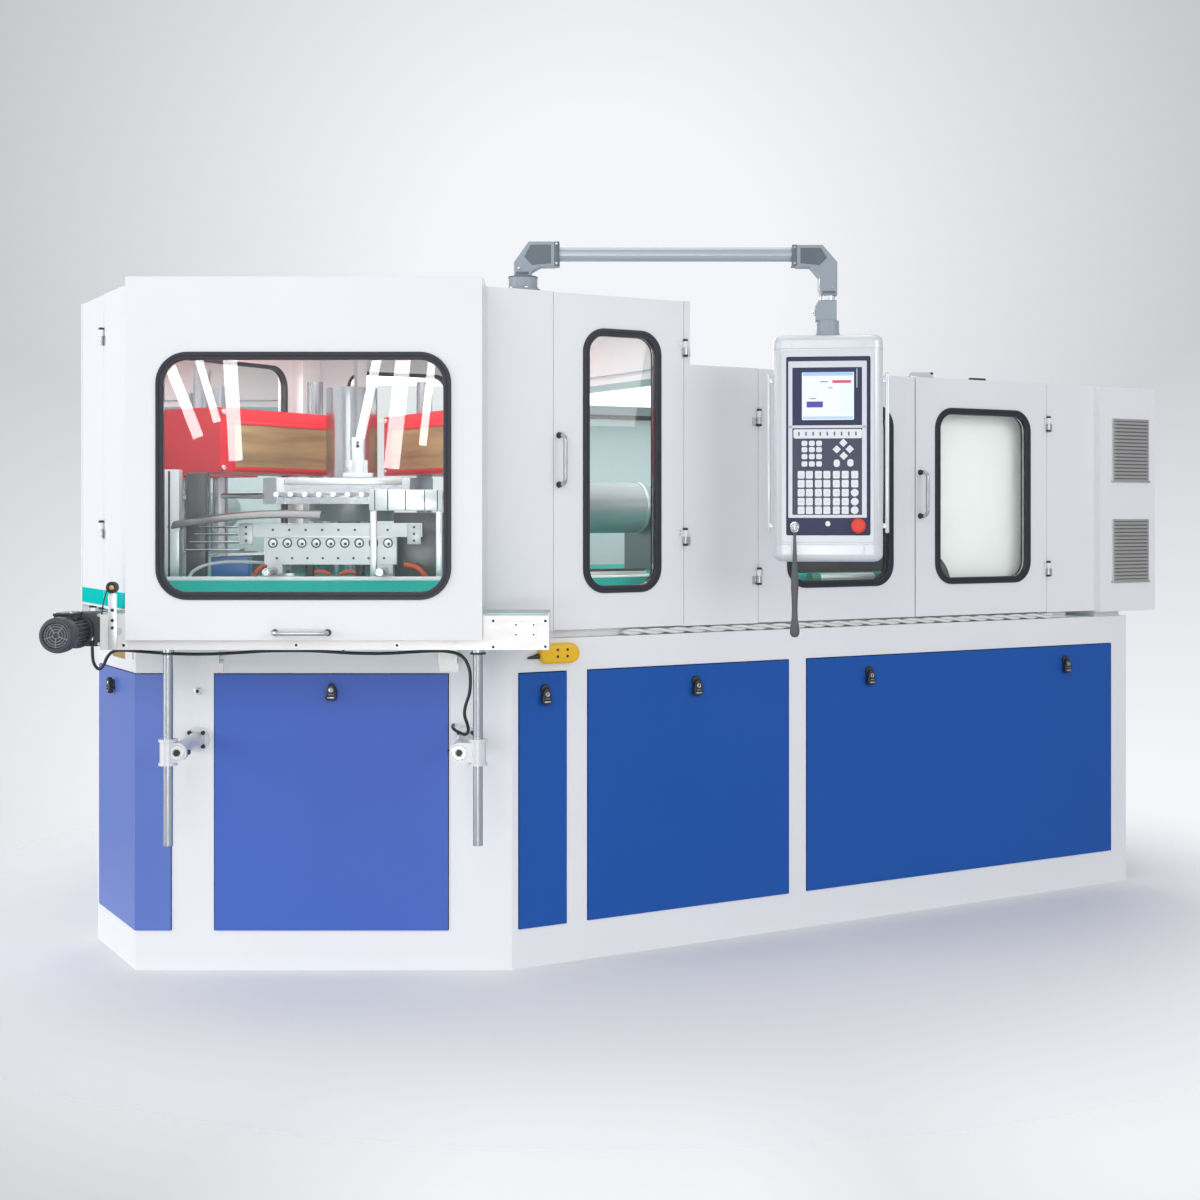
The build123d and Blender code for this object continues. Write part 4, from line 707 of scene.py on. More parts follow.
arm = Shape()
foot_side = [(-0.028, 2.227), (0.0238, 2.227), (0.028, 2.2382), (0.028, 2.241), (0.0588, 2.258),
             (0.105, 2.258), (0.119, 2.272), (0.119, 2.339), (0.0196, 2.339), (-0.028, 2.272)]
far_side = [(arm_span - x, z) for x, z in
            [(-0.028, 2.165), (0.0238, 2.165), (0.028, 2.1762), (0.028, 2.2216), (0.0588, 2.258),
             (0.105, 2.258), (0.119, 2.272), (0.119, 2.328), (0.0196, 2.328), (-0.028, 2.272)]]
cast_side(arm, foot_side, 0.028, 0.003)
cast_side(arm, far_side, 0.028, 0.003)
for x0, x1, z0, z1 in ((0.102, 0.1195, 2.2600, 2.3388), (0.8735, 0.891, 2.2600, 2.3285)):
    arm.block((x0, -0.0295, z0), (x1, 0.0295, z1), 0.003, 1)
cast_side(arm, [(0.030, 2.262), (0.092, 2.268), (0.092, 2.328), (0.026, 2.328), (0.006, 2.290)], 0.0293,
          0.0012, 1)
cast_side(arm, [(arm_span - x, z) for x, z in [(0.030, 2.262), (0.092, 2.268), (0.092, 2.318), (0.026, 2.318),
                                               (0.006, 2.286)]], 0.0293, 0.0012, 1)
arm.block((-0.0215, -0.0292, 2.232), (0.0195, 0.0292, 2.2405), 0.001, 1)
arm.block((0.9715, -0.0292, 2.170), (1.0145, 0.0292, 2.1785), 0.001, 1)
for x, z in ((0.110, 2.268), (0.110, 2.331), (0.8825, 2.268), (0.8825, 2.320), (-0.012, 2.252),
             (1.005, 2.190)):
    arm.turned([(0, 0), (0.0042, 0), (0.0042, 0.0022), (0.0032, 0.003), (0, 0.003)], (x, -0.0292, z),
               (0, -1, 0), 14, 2)
arm.done("arm_elbows", "arm", "arm_grey", arm_grey, lid_grey, bright_steel, place=to_arm, sharp=28,
         instead="control_arm")
tube = Shape()
tube.turned([(0.0205, 0), (0.023, 0), (0.023, 0.757), (0.0205, 0.757), (0.0205, 0)], (0.118, 0, 2.300),
            (1, 0, 0), 48)
tube.done("arm_tube", "arm", "arm_grey", tube_paint, place=to_arm, instead="control_arm")

neck = Shape()
neck.turned([(0, 2.0300), (0.0365, 2.0300), (0.0385, 2.0360), (0.0385, 2.0440), (0.0366, 2.0465),
             (0.0366, 2.0830), (0.0345, 2.0836), (0, 2.0836)], (0, 0, 0), (0, 0, 1), 40, 0)
cast_side(neck, [(0.0287, 2.0824), (0.0287, 2.1487), (-0.0287, 2.1487), (-0.0399, 2.1297), (-0.0399, 2.0824)],
          0.0287, 0.003)
neck.block((-0.0452, -0.012, 2.1015), (-0.0390, 0.012, 2.1225), 0.002, 2)
neck.turned([(0, 0), (0.005, 0), (0.005, 0.004), (0, 0.005)], (-0.0450, 0, 2.112), (-1, 0, 0), 6, 2)
neck.turned([(0.0226, 2.1487), (0.0240, 2.1500), (0.0240, 2.1637), (0.0226, 2.1648)], (0, 0, 0), (0, 0, 1),
            40, 1)
neck.done("panel_coupling", "panel", "panel_silver", arm_grey, rail_white, bright_steel, place=to_panel,
          sharp=28, instead="panel_housing")


def bolt_head(radius, height, ease):
    """Profile of a bolt's head with a chamfered rim."""
    return [(0, 0), (radius, 0), (radius, height - ease), (radius - ease, height), (0, height)]


foot_bolts = Shape()
for turn in range(6):
    a = radians(60 * turn + 15)
    foot_bolts.turned(bolt_head(0.0045, 0.004, 0.001),
                      (foot_x + 0.0515 * cos(a), foot_y + 0.0515 * sin(a), 2.187), (0, 0, 1), 6)
foot_bolts.turned([(0.0472, 2.2225), (0.0487, 2.2232), (0.0487, 2.2265), (0.0472, 2.2272), (0.030, 2.2272)],
                  (foot_x, foot_y, 0), (0, 0, 1), 40, 1)
foot_bolts.done("foot_bolts", "machine", "arm_grey", bright_steel, lid_grey)


# Pull handles. Bent steel bars stand on black plastic ferrules and are screwed through the sheet of the
# doors and of the hood from behind.
def ferrules(name, body, spots, front, place=None):
    """Black ferrules where a handle's two legs meet the sheet."""
    shape = Shape()
    for x, z in spots:
        shape.turned([(0, 0), (0.0105, 0), (0.0105, 0.003), (0.0085, 0.006), (0.0076, 0.012), (0.0074, 0.024),
                      (0.0070, 0.025)], (x, front, z), (0, -1, 0), 28)
    shape.done(name, body, "steel", black_plastic, place=place)


ferrules("side_ferrules", "side_door", ((-0.679, 1.550), (-0.679, 1.710)), cabin_front)
ferrules("right_ferrules", "right_door", ((0.832, 1.448), (0.832, 1.608)), cabin_front)
ferrules("hood_ferrules", "hood", ((-0.702, 1.096), (-0.542, 1.096)), hood_front, to_face)

# Quarter-turn latches. A black moulded body, shaped like a shield, hangs from a round cover and holds a
# zinc key insert and a lip; its shaft goes through the lift-off panel to a nut behind.
zinc = textured("zinc plate", (0.56, 0.59, 0.61), (0.46, 0.49, 0.52), 0.36, 1.0, scale=26, uneven=0.10)
mark_grey = textured("mark grey", (0.30, 0.31, 0.33), (0.24, 0.25, 0.27), 0.4, scale=60)
latch_height = 0.890


def latch(name, x, front, back, place=None, hang=0.0):
    """A latch at x on a panel's front face, its body hanging a little below the shaft."""
    shape = Shape()
    shape.turned([(0, 0), (0.0170, 0), (0.0170, 0.0035), (0.0150, 0.0070), (0.0110, 0.0080), (0, 0.0080)],
                 (x, front, latch_height), (0, -1, 0), 32)
    heart = latch_height - hang
    shield = [(0.0250, 0.0045), (0.0215, 0.0090), (0.0130, 0.0130), (0.0010, 0.0160), (-0.0110, 0.0180),
              (-0.0210, 0.0186), (-0.0265, 0.0165), (-0.0290, 0.0100)]
    rows = []
    for depth, share in ((0.0065, 0.95), (0.0150, 1.0), (0.0195, 0.94), (0.0214, 0.78)):
        half = [(x + share * w, front - depth, heart + share * z) for z, w in shield]
        rows.append(half + [(2 * x - px, y, z) for px, y, z in reversed(half)])
    shape.loops(rows, 0, ends=True)
    shape.turned([(0, 0), (0.0078, 0), (0.0078, 0.0012), (0.0066, 0.0022), (0.0040, 0.0016), (0, 0.0016)],
                 (x, front - 0.0206, heart + 0.0060), (0, -1, 0), 28, 2)
    shape.block((x - 0.0012, front - 0.0232, heart + 0.0010), (x + 0.0012, front - 0.0218, heart + 0.0110),
                0.0004, 0)
    shape.block((x - 0.0112, front - 0.0232, heart - 0.0215), (x + 0.0112, front - 0.0206, heart - 0.0165),
                0.0010, 2)
    shape.block((x - 0.0085, front - 0.0226, heart - 0.0100), (x + 0.0085, front - 0.0210, heart - 0.0076),
                0.0005, 1)
    shape.turned([(0, 0), (0.008, 0), (0.008, back - front + 0.0045), (0, back - front + 0.0045)],
                 (x, front, latch_height), (0, 1, 0), 24)
    shape.turned([(0, 0), (0.017, 0), (0.017, 0.0087), (0, 0.0087)], (x, back + 0.0003, latch_height),
                 (0, 1, 0), 6, 2)
    shape.done(name + "_paddle", name, "black_plastic", black_plastic, mark_grey, zinc, place=place, sharp=30,
               instead=name)


side_latches = (("latch_small", -0.734), ("latch_middle", -0.154), ("latch_large_left", 0.589),
                ("latch_large_right", 1.554))
for name, x in side_latches:
    latch(name, x, -0.8463, -0.824, hang=0.020)
to_end = Matrix.Translation((-1.88923, 0, 0)) @ Matrix.Rotation(radians(-90), 4, "Z")
latch("latch_ejection", -0.574, -0.0043, 0.018, to_face)
latch("latch_end", -0.016, -0.0043, 0.018, to_end)

# Hinges. Lift-off barrels of zinc-plated steel, with black caps on both ends; two screws hold each leaf to
# its door or to the fixed sheet beside it.
pin_y, leaf_y, half_hinge = -0.851, -0.845, 0.0225
cap_profile = [(0, 0), (0.0082, 0), (0.0086, 0.001), (0.0086, 0.006), (0.0070, 0.0075), (0, 0.0080)]
screw_profile = [(0, 0), (0.0032, 0), (0.0026, 0.0012), (0, 0.0014)]
hinge_caps = Shape()
door_caps = {"side_door": Shape(), "middle_door": Shape(), "right_door": Shape(), "end_door": Shape()}
for door, x, side, levels in (("side_door", -0.198, 1, (1.378, 2.015)),
                              ("middle_door", 0.106, -1, (1.240, 1.789)),
                              ("right_door", 1.464, 1, (1.245, 1.802))):
    for z in levels:
        hinge_caps.turned(cap_profile, (x, pin_y, z - half_hinge), (0, 0, -1), 20)
        door_caps[door].turned(cap_profile, (x, pin_y, z + half_hinge), (0, 0, 1), 20)
        for dz in (-0.020, -0.009):
            hinge_caps.turned(screw_profile, (x + side * 0.017, leaf_y, z + dz), (0, -1, 0), 12, 1)
            door_caps[door].turned(screw_profile, (x - side * 0.017, leaf_y, z - dz), (0, -1, 0), 12, 1)
for z in (1.404, 2.035):
    door_caps["end_door"].turned(cap_profile, (0.040, -0.059, z + half_hinge), (0, 0, 1), 20)
hinge_caps.done("hinge_caps", "machine", "steel", black_plastic, bright_steel)
for door, shape in door_caps.items():
    shape.done(door + "_caps", door, "steel", black_plastic, bright_steel,
               place=to_end if door == "end_door" else None)

# Sensor junction on the deck's edge. A yellow moulded box with a domed front is closed by four dark screws;
# a black gland leads out of its left end.
yellow_plastic = textured("yellow plastic", (0.92, 0.55, 0.008), (0.85, 0.47, 0.006), 0.38, scale=20)
junction = Shape()
rows = []
for inset, y in ((0.0, cabin_front), (0.0, -0.862), (0.0020, -0.868), (0.0065, -0.8715), (0.0140, -0.8720)):
    rows.append(rounded(-0.760 + inset, -0.616 - inset, 0.973 + inset, 1.037 - inset, 0.031 - inset, y))
junction.loops(rows, 0, ends=True)
for x, z in ((-0.6995, 1.0173), (-0.6995, 0.9960), (-0.6640, 1.0173), (-0.6640, 0.9960)):
    junction.turned([(0, 0), (0.0048, 0), (0.0042, 0.0012), (0.0015, 0.0012), (0, 0.0006)], (x, -0.8718, z),
                    (0, -1, 0), 16, 1)
junction.turned([(0, -0.010), (0.0095, -0.010), (0.0085, 0.010), (0.0060, 0.026), (0.0030, 0.044),
                 (0, 0.046)], (-0.7560, -0.8550, 0.9990), (-1, 0, -0.12), 20, 1)
junction.done("junction_box", "machine", "yellow_plastic", yellow_plastic, black_plastic, instead="cable_box")

# Vents of the electrical cabinet. A frame of brushed stainless sheet with a drip lip holds sixteen pressed
# slats before a dark filter mat, and is screwed into the cabinet's front from inside.
brushed = textured("brushed stainless", (0.60, 0.60, 0.58), (0.50, 0.50, 0.49), 0.34, 1.0, scale=10,
                   stretch=(1, 1, 40), bump=0.15, fine=60)
slat_pitch, slat_count = 0.0142, 16
vent_front = -0.872
filter_dark = textured("filter mat", (0.20, 0.185, 0.175), (0.27, 0.25, 0.24), 0.85, scale=120, bump=0.3)
vents = Shape()
slat_spots = []
for z in (1.708, 1.312):
    vents.loops([rounded(1.7885 + d, 1.9755 - d, z - 0.1165 + d, z + 0.1165 - d, 0.002, y, 2) for d, y in
                 ((0, -0.8722), (0, -0.8726))], 1, ends=True)
    frame_ring(vents, (1.782, 1.982, z - 0.123, z + 0.123), (1.790, 1.974, z - 0.115, z + 0.115), 0.002,
               vent_front, -0.8765)
    vents.block((1.776, -0.8790, z - 0.1270), (1.988, -0.8720, z - 0.1205), 0.0015, 0)
    slat_spots += [(1.882, -0.8725, z - 0.1065 + i * slat_pitch) for i in range(slat_count)]
vents.done("vent_frames", "machine", "brushed_steel", brushed, filter_dark, instead="louvre_panels")
slat_piece = studs("vent_slats", "machine", slat_spots, 0.186, 0.0102, 0.0015, 0.0050,
                   brushed)
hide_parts("louvre_panels")

# Geared motor of the conveyor. A finned cast body with a fan cowl and a terminal box is flanged to a worm
# gearbox, which a bright adaptor joins to the conveyor's end.
motor_grey = textured("motor grey", (0.045, 0.05, 0.058), (0.07, 0.075, 0.085), 0.5, scale=20, bump=0.2)
light_metal = textured("clear anodised aluminium", (0.80, 0.81, 0.82), (0.70, 0.71, 0.72), 0.38, 0.85,
                       scale=14)
motor_x, motor_z, flange_y = -1.339, 1.092, -0.165
motor = Shape()
rows = []
for y in (-0.164, -0.318):
    ring = []
    for i in range(96):
        a = 2 * pi * i / 96
        r = 0.0480 if i % 4 in (0, 1) else 0.0438
        ring.append((motor_x + r * cos(a), y, motor_z + r * sin(a)))
    rows.append(ring)
motor.loops(rows, 0, ends=True)
motor.turned([(0.030, 0.146), (0.0505, 0.146), (0.0535, 0.150), (0.0540, 0.156), (0.0540, 0.192),
              (0.0520, 0.2015), (0.0455, 0.2115),
              (0.0400, 0.2120), (0.0380, 0.2075), (0.0372, 0.2030), (0, 0.2030)],
             (motor_x, flange_y, motor_z), (0, -1, 0), 48, 0)
motor.turned([(0, 0), (0.0530, 0), (0.0530, 0.009), (0.049, 0.012), (0, 0.012)], (motor_x, flange_y, motor_z),
             (0, -1, 0), 48, 0)
for r in (0.0100, 0.0190, 0.0275, 0.0350):
    motor.turned([(r - 0.0017, 0), (r - 0.0010, 0.0022), (r + 0.0010, 0.0022), (r + 0.0017, 0),
                  (r - 0.0017, 0)], (motor_x, -0.3688, motor_z), (0, -1, 0), 48, 1)
for turn in range(5):
    a = radians(72 * turn + 20)
    part = bmesh.new()
    bmesh.ops.create_cube(part, size=1)
    for v in part.verts:
        v.co = (0.022 + v.co.x * 0.030, v.co.y * 0.0022, v.co.z * 0.0032)
    spin = Matrix.Translation((motor_x, -0.3700, motor_z)) @ Matrix.Rotation(a, 4, "Y")
    motor.take(part, 1, spin)
motor.block((-1.389, -0.156, 1.0435), (-1.262, -0.070, 1.150), 0.010, 0)
motor.block((-1.262, -0.165, 1.0450), (-1.237, -0.072, 1.1485), 0.003, 2)
motor.turned([(0, 0), (0.040, 0), (0.040, 0.006), (0.034, 0.009), (0, 0.009)], (-1.325, -0.070, 1.0965),
             (0, 1, 0), 36, 0)
motor.block((-1.367, -0.307, 1.120), (-1.311, -0.195, 1.150), 0.005, 3)
motor.block((-1.3695, -0.3085, 1.1455), (-1.3085, -0.1935, 1.1558), 0.004, 3)
motor.block((-1.300, -0.1665, 1.0630), (-1.288, -0.1560, 1.0750), 0.001, 2)
for x, y in ((-1.363, -0.302), (-1.315, -0.302), (-1.363, -0.200), (-1.315, -0.200)):
    motor.turned([(0, 0), (0.004, 0), (0.0035, 0.002), (0, 0.0022)], (x, y, 1.1555), (0, 0, 1), 12, 2)
for x, z in ((-1.381, 1.052), (-1.381, 1.141), (-1.272, 1.052), (-1.272, 1.141)):
    motor.turned(bolt_head(0.006, 0.005, 0.001), (x, -0.156, z), (0, -1, 0), 6, 2)
motor.turned([(0, 0), (0.011, 0), (0.011, 0.006), (0.008, 0.010), (0.0065, 0.018), (0, 0.018)],
             (-1.295, -0.150, 1.062), (0, 0, -1), 20, 3)
cowl_grey = textured("cowl grey", (0.20, 0.21, 0.23), (0.28, 0.29, 0.32), 0.42, 0.3, scale=30)
motor.done("geared_motor_body", "machine", "dark_motor", motor_grey, cowl_grey, light_metal, black_plastic,
           place=to_face, sharp=28, instead="geared_motor")

# Support rods of zinc-plated round steel. They are threaded where the clamps let the conveyor be set in
# height, and a black nut locks each below the beam.
dress(zinc, "support_rods")
rod_spots, rod_y = (-0.091, -1.035), -0.250
thread_tree = bpy.data.node_groups.new("thread", "GeometryNodeTree")
given, result = size_inputs(thread_tree, "Rod radius", "Turns", "Length", "Ridge", "Finish")
rod_radius = given.outputs["Rod radius"]
helix = put(thread_tree, "GeometryNodeCurveSpiral", Resolution=18, Rotations=given.outputs["Turns"],
            Start_Radius=rod_radius, End_Radius=rod_radius, Height=given.outputs["Length"])
tooth = put(thread_tree, "GeometryNodeCurvePrimitiveCircle", Resolution=4, Radius=given.outputs["Ridge"])
wound = put(thread_tree, "GeometryNodeCurveToMesh", Curve=helix.outputs["Curve"],
            Profile_Curve=tooth.outputs["Curve"])
spread = put(thread_tree, "GeometryNodeInstanceOnPoints", Points=given.outputs["Geometry"],
             Instance=wound.outputs["Mesh"])
close_tree(thread_tree, spread.outputs["Instances"], given, result)
thread_points = bpy.data.meshes.new("thread_points")
thread_points.from_pydata([(x, rod_y, 0.775) for x in rod_spots], [], [])
thread_base = bpy.data.objects.new("thread_points", thread_points)
scene.collection.objects.link(thread_base)
threads = grown("rod_threads", thread_base, thread_tree, rod_radius=0.0142, turns=64.0, length=0.256,
                ridge=0.0012, finish=zinc)
threads.data.transform(to_face)
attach(threads, "machine")
rod_ends = Shape()
for x in rod_spots:
    rod_ends.turned([(0.0143, 0.0), (0.0152, 0.001), (0.0152, 0.004), (0.0143, 0.005)], (x, rod_y, 0.446),
                    (0, 0, 1), 28, 0)
    rod_ends.turned([(0.0140, 0.0), (0.0240, 0.0), (0.0240, 0.006), (0.0140, 0.006)], (x, rod_y, 1.0270),
                    (0, 0, 1), 6, 1)
rod_ends.done("rod_ends", "machine", "zinc_steel", bright_steel, black_plastic, place=to_face)

# Rod clamps. White cast crosses grip rod and stand-off; black bolts close the eyes and hold the flanges.
cast_white = textured("cast white", (0.76, 0.77, 0.79), (0.66, 0.67, 0.70), 0.36, 0.15, scale=30, bump=0.25)
dress(cast_white, "rod_clamps")
rail_y, eye_z, flange_front, flange_z = -0.2680, 0.7295, -0.0120, 0.737
bolts = Shape()
for along, rod_x in zip((-0.147, -1.004), rod_spots):
    bolts.turned([(0.012, 0), (0.0215, 0), (0.0230, 0.0012), (0.0215, 0.0026), (0.0125, 0.0026)],
                 (along, rail_y, eye_z), (0, -1, 0), 32, 1)
    bolts.turned(bolt_head(0.0100, 0.0100, 0.0015), (along, rail_y, eye_z), (0, -1, 0), 6)
    for turn in range(4):
        a = radians(45 + 90 * turn)
        bolts.turned([(0, 0), (0.0072, 0), (0.0072, 0.0065), (0.0060, 0.0078), (0, 0.0078)],
                     (along + 0.0305 * cos(a), flange_front, flange_z + 0.0305 * sin(a)), (0, -1, 0), 6)
    bolts.turned([(0.0215, 0), (0.0255, 0), (0.0260, 0.002), (0.0255, 0.012), (0.0215, 0.016)],
                 (along, flange_front, flange_z), (0, -1, 0), 32, 1)
    side = 1 if rod_x > along else -1
    bolts.turned([(0, 0), (0.0075, 0), (0.0075, 0.0060), (0.0065, 0.0072), (0, 0.0072)],
                 (along - side * 0.0295, rod_y, eye_z), (-side, 0, 0), 6)
bolts.done("clamp_bolts", "machine", "black_plastic", black_plastic, light_metal, place=to_face)

# Conveyor. A green belt runs between two folded rails; the outer one's end plate is fixed with dark screws
# and carries a small bright cover, and a pale green edge of the belt's guide shows along the top.
belt_green = textured("belt green", (0.03, 0.40, 0.31), (0.04, 0.33, 0.26), 0.6, scale=30, bump=0.2)
dress(belt_green, "conveyor_belt")
pale_green = textured("pale green edge", (0.38, 0.60, 0.53), (0.46, 0.66, 0.60), 0.35, scale=14)
rail_metal = textured("rail metal", (0.80, 0.79, 0.775), (0.72, 0.71, 0.70), 0.36, 0.25, scale=9,
                      stretch=(1, 1, 6), bump=0.1)
dress(rail_metal, "conveyor_frame")
rail_bits = Shape()
slab(rail_bits, (0.0215, 0.0855, 1.0785, 1.1285), 0.002, -0.2683, -0.2707, 0)
rail_bits.block((-0.0735, -0.2686, 1.1462), (0.1235, -0.2678, 1.1538), 0.0003, 1)
rail_bits.block((-1.2370, -0.2686, 1.1500), (-1.1630, -0.2678, 1.1536), 0.0003, 1)
rail_bits.block((0.1245, -0.2665, 1.0430), (0.1258, -0.0610, 1.1530), 0.0004, 0)
rail_bits.done("rail_covers", "machine", "aluminium", light_metal, pale_green, place=to_face)
screw_spots = [(-0.0434, rail_y, 1.130), (-0.0434, rail_y, 1.051), (0.1148, rail_y, 1.130),
               (0.1148, rail_y, 1.052),
               (-0.6415, rail_y, 1.0565), (-1.1650, rail_y, 1.0560), (-0.3350, rail_y, 1.0560)]
studs("rail_washers", "machine", screw_spots, 0.0190, 0.0190, 0.0095, 0.0010, light_metal,
      to_face)
studs("rail_screws", "machine", [(x, -0.2688, z) for x, y, z in screw_spots], 0.0090, 0.0090,
      0.0045, 0.0032, black_plastic, to_face)
cover_spots = [(x, -0.2703, z) for x in (0.0262, 0.0790) for z in (1.0885, 1.1180)]
studs("cover_screws", "machine", cover_spots, 0.0062, 0.0062, 0.0031, 0.0020, motor_grey, to_face)

# Sensor at the conveyor's left end. Its black round head sits on an upright bright bar that black screws
# hold to the rail; a thin lead drops from it behind the bar.
brass = textured("brass", (0.62, 0.44, 0.16), (0.52, 0.36, 0.12), 0.34, 0.7, scale=40)
sensor = Shape()
sensor.block((-1.2110, -0.2738, 1.0425), (-1.1850, -0.2682, 1.2120), 0.0012, 0)
sensor.block((-1.2060, -0.2740, 1.2100), (-1.1900, -0.2690, 1.2240), 0.001, 0)
sensor.turned([(0, 0), (0.0165, 0), (0.0178, 0.002), (0.0180, 0.0195), (0.0168, 0.0230), (0.0120, 0.0240),
               (0.0085, 0.0215), (0, 0.0215)], (-1.1980, -0.2620, 1.2320), (0, -1, 0), 36, 1)
sensor.turned([(0, 0), (0.0075, 0), (0.0068, 0.0022), (0.0030, 0.0032), (0, 0.0034)],
              (-1.1980, -0.2834, 1.2320), (0, -1, 0), 24, 2)
for z in (1.1090, 1.1320, 1.1630):
    sensor.turned(bolt_head(0.0055, 0.0040, 0.001), (-1.1980, -0.2738, z), (0, -1, 0), 6, 1)


def tube_along(shape, points, radius, material=0, sides=12, smooth=6):
    """A round tube through points, for short hoses and leads."""
    knots = [Vector(p) for p in points]
    line = []
    ends = [knots[0] * 2 - knots[1]] + knots + [knots[-1] * 2 - knots[-2]]
    for a, b, c, d in zip(ends, ends[1:], ends[2:], ends[3:]):
        for i in range(smooth):
            t = i / smooth
            line.append(0.5 * (2 * b + (c - a) * t + (2 * a - 5 * b + 4 * c - d) * t * t
                               + (3 * b - a - 3 * c + d) * t ** 3))
    line.append(knots[-1])
    rows = []
    side = None
    for i, place in enumerate(line):
        ahead = (line[min(i + 1, len(line) - 1)] - line[max(i - 1, 0)]).normalized()
        side = ahead.orthogonal() if side is None else side - ahead * side.dot(ahead)
        side.normalize()
        up = ahead.cross(side)
        rows.append([tuple(place + (side * cos(2 * pi * k / sides) + up * sin(2 * pi * k / sides)) * radius)
                     for k in range(sides)])
    shape.loops(rows, material, ends=True)


tube_along(sensor, [(-1.2130, -0.2740, 1.2270), (-1.2190, -0.2735, 1.2100), (-1.2260, -0.2725, 1.1850),
                    (-1.2295, -0.2715, 1.1600), (-1.2320, -0.2700, 1.1500)], 0.0022, 1, 8)
sensor.done("belt_sensor", "machine", "aluminium", light_metal, black_plastic, brass, place=to_face,
            instead="sensor_post")

# Small things on the sheet metal: teal band below the left end's panels, the earth plate and the slit in
# the deck, the plug beside the left clamp, and the feed lid with its black strip on the low roof.
band_teal = textured("band teal", (0.006, 0.545, 0.505), (0.008, 0.50, 0.46), 0.5, scale=6, bump=0.1,
                     specular=0.0)
for name, body, x0, x1, place in (("door_band", "end_door", -0.2500, 0.0360, to_end),
                                  ("end_band", "machine", 0.0420, 0.2706, to_end),
                                  ("corner_band", "machine", -1.2286, -1.1660, to_face)):
    band = Shape()
    band.block((x0, -0.0508, 1.1555), (x1, -0.0500, 1.2060), 0.0002, 0)
    band.done(name, body, "teal_paint", band_teal, place=place)
fittings = Shape()
fittings.turned([(0, 0), (0.0120, 0), (0.0125, 0.002), (0.0120, 0.007), (0.0095, 0.009), (0.0060, 0.0085),
                 (0.0055, 0.004), (0, 0.004)], (-1.002, -0.0002, 0.890), (0, -1, 0), 28, 0)
fittings.turned([(0, 0), (0.0052, 0), (0.0052, 0.0072), (0, 0.0075)], (-1.002, -0.0002, 0.890), (0, -1, 0),
                20, 1)
fittings.block((-0.505, -0.2500, 1.0300), (-0.498, -0.2400, 1.0420), 0.001, 1)
fittings.done("front_fittings", "machine", "white_paint", light_metal, black_plastic, place=to_face)
end_fittings = Shape()
end_fittings.block((-0.041, -0.0015, 0.9830), (0.1136, 0.0005, 1.0120), 0.0005, 0)
end_fittings.block((0.2060, -0.0008, 0.9880), (0.2110, 0.0005, 1.0190), 0.0003, 1)
for x in (-0.150, -0.020, 0.110, 0.190):
    end_fittings.block((x - 0.014, -0.0500, 1.1395), (x + 0.014, -0.0300, 1.1462), 0.001, 1)
end_fittings.done("end_fittings", "machine", "steel", brass, black_plastic, place=to_end)
roof_bits = Shape()
roof_bits.block((0.824, -0.800, 1.9598), (0.935, -0.782, 1.9660), 0.001, 0)
roof_bits.loops([[(0.826, y, 1.966), (0.832, y, 1.9795), (0.925, y, 1.9815),
                  (0.933, y, 1.966)] for y in (-0.796, -0.786)], 0, ends=True)
roof_bits.block((0.921, -0.797, 1.9740), (0.935, -0.785, 1.9830), 0.002, 1)
roof_bits.block((1.116, -0.800, 1.9598), (1.191, -0.786, 1.9700), 0.002, 1)
roof_bits.done("roof_bits", "machine", "white_paint", light_metal, black_plastic)

# Inside the hood. The stripper's milled plate carries nine bushed holes, screws and end brackets; hoses,
# valve blocks and dark sheet guides stand beside it on the teal bed, along whose top edge a white strip is a
# painted highlight.
inner_steel = textured("inner steel", (0.74, 0.75, 0.77), (0.62, 0.63, 0.65), 0.30, 0.6, scale=14)
air_dark = textured("air guide", (0.055, 0.058, 0.062), (0.11, 0.112, 0.118), 0.30, 0.3, scale=8)
orange_hose = textured("orange hose", (0.75, 0.10, 0.02), (0.62, 0.075, 0.015), 0.35, scale=40)
grey_hose = textured("grey hose", (0.36, 0.38, 0.39), (0.44, 0.46, 0.47), 0.4, scale=40)
cabin_blue = textured("valve blue", (0.02, 0.12, 0.38), (0.03, 0.15, 0.44), 0.35, scale=20)
milled_plate = textured("milled plate", (0.50, 0.51, 0.53), (0.42, 0.43, 0.45), 0.34, 0.35, scale=16,
                        bump=0.15)
dark_bore = textured("dark bore", (0.03, 0.03, 0.034), (0.06, 0.06, 0.066), 0.35, 0.4, scale=40)
dress(milled_plate, "stripper_bar")
comb_x, comb_pitch, bed_top = -0.600, 0.04698, 1.2402
comb = Shape()
for i in range(9):
    x = comb_x + (i - 4) * comb_pitch
    comb.turned([(0.0118, 0), (0.0158, 0), (0.0158, 0.0025), (0.0142, 0.0045), (0.0122, 0.0045), (0.0118, 0)],
                (x, 0.1365, 1.360), (0, -1, 0), 24, 2)
    comb.turned([(0, 0), (0.0118, 0), (0.0118, 0.0030), (0.0095, 0.0040), (0, 0.0028)], (x, 0.1365, 1.360),
                (0, -1, 0), 24, 0)
    comb.turned([(0, 0), (0.0052, 0), (0.0052, 0.0010), (0, 0.0012)], (x + 0.0024, 0.1328, 1.357), (0, -1, 0),
                14, 2)
for x0, x1 in ((-0.896, -0.852), (-0.348, -0.304)):
    comb.block((x0, 0.1275, 1.3560), (x1, 0.1325, 1.4240), 0.002, 1)
comb.block((-0.815, 0.1300, 1.3780), (-0.385, 0.1322, 1.3820), 0.0008, 0)
comb.done("comb_bushes", "stripper", "aluminium", inner_steel, milled_plate, dark_bore, place=to_face)
comb_dots = [(comb_x + (i - 3.5) * 0.0535, 0.1318, 1.4030) for i in range(8)]
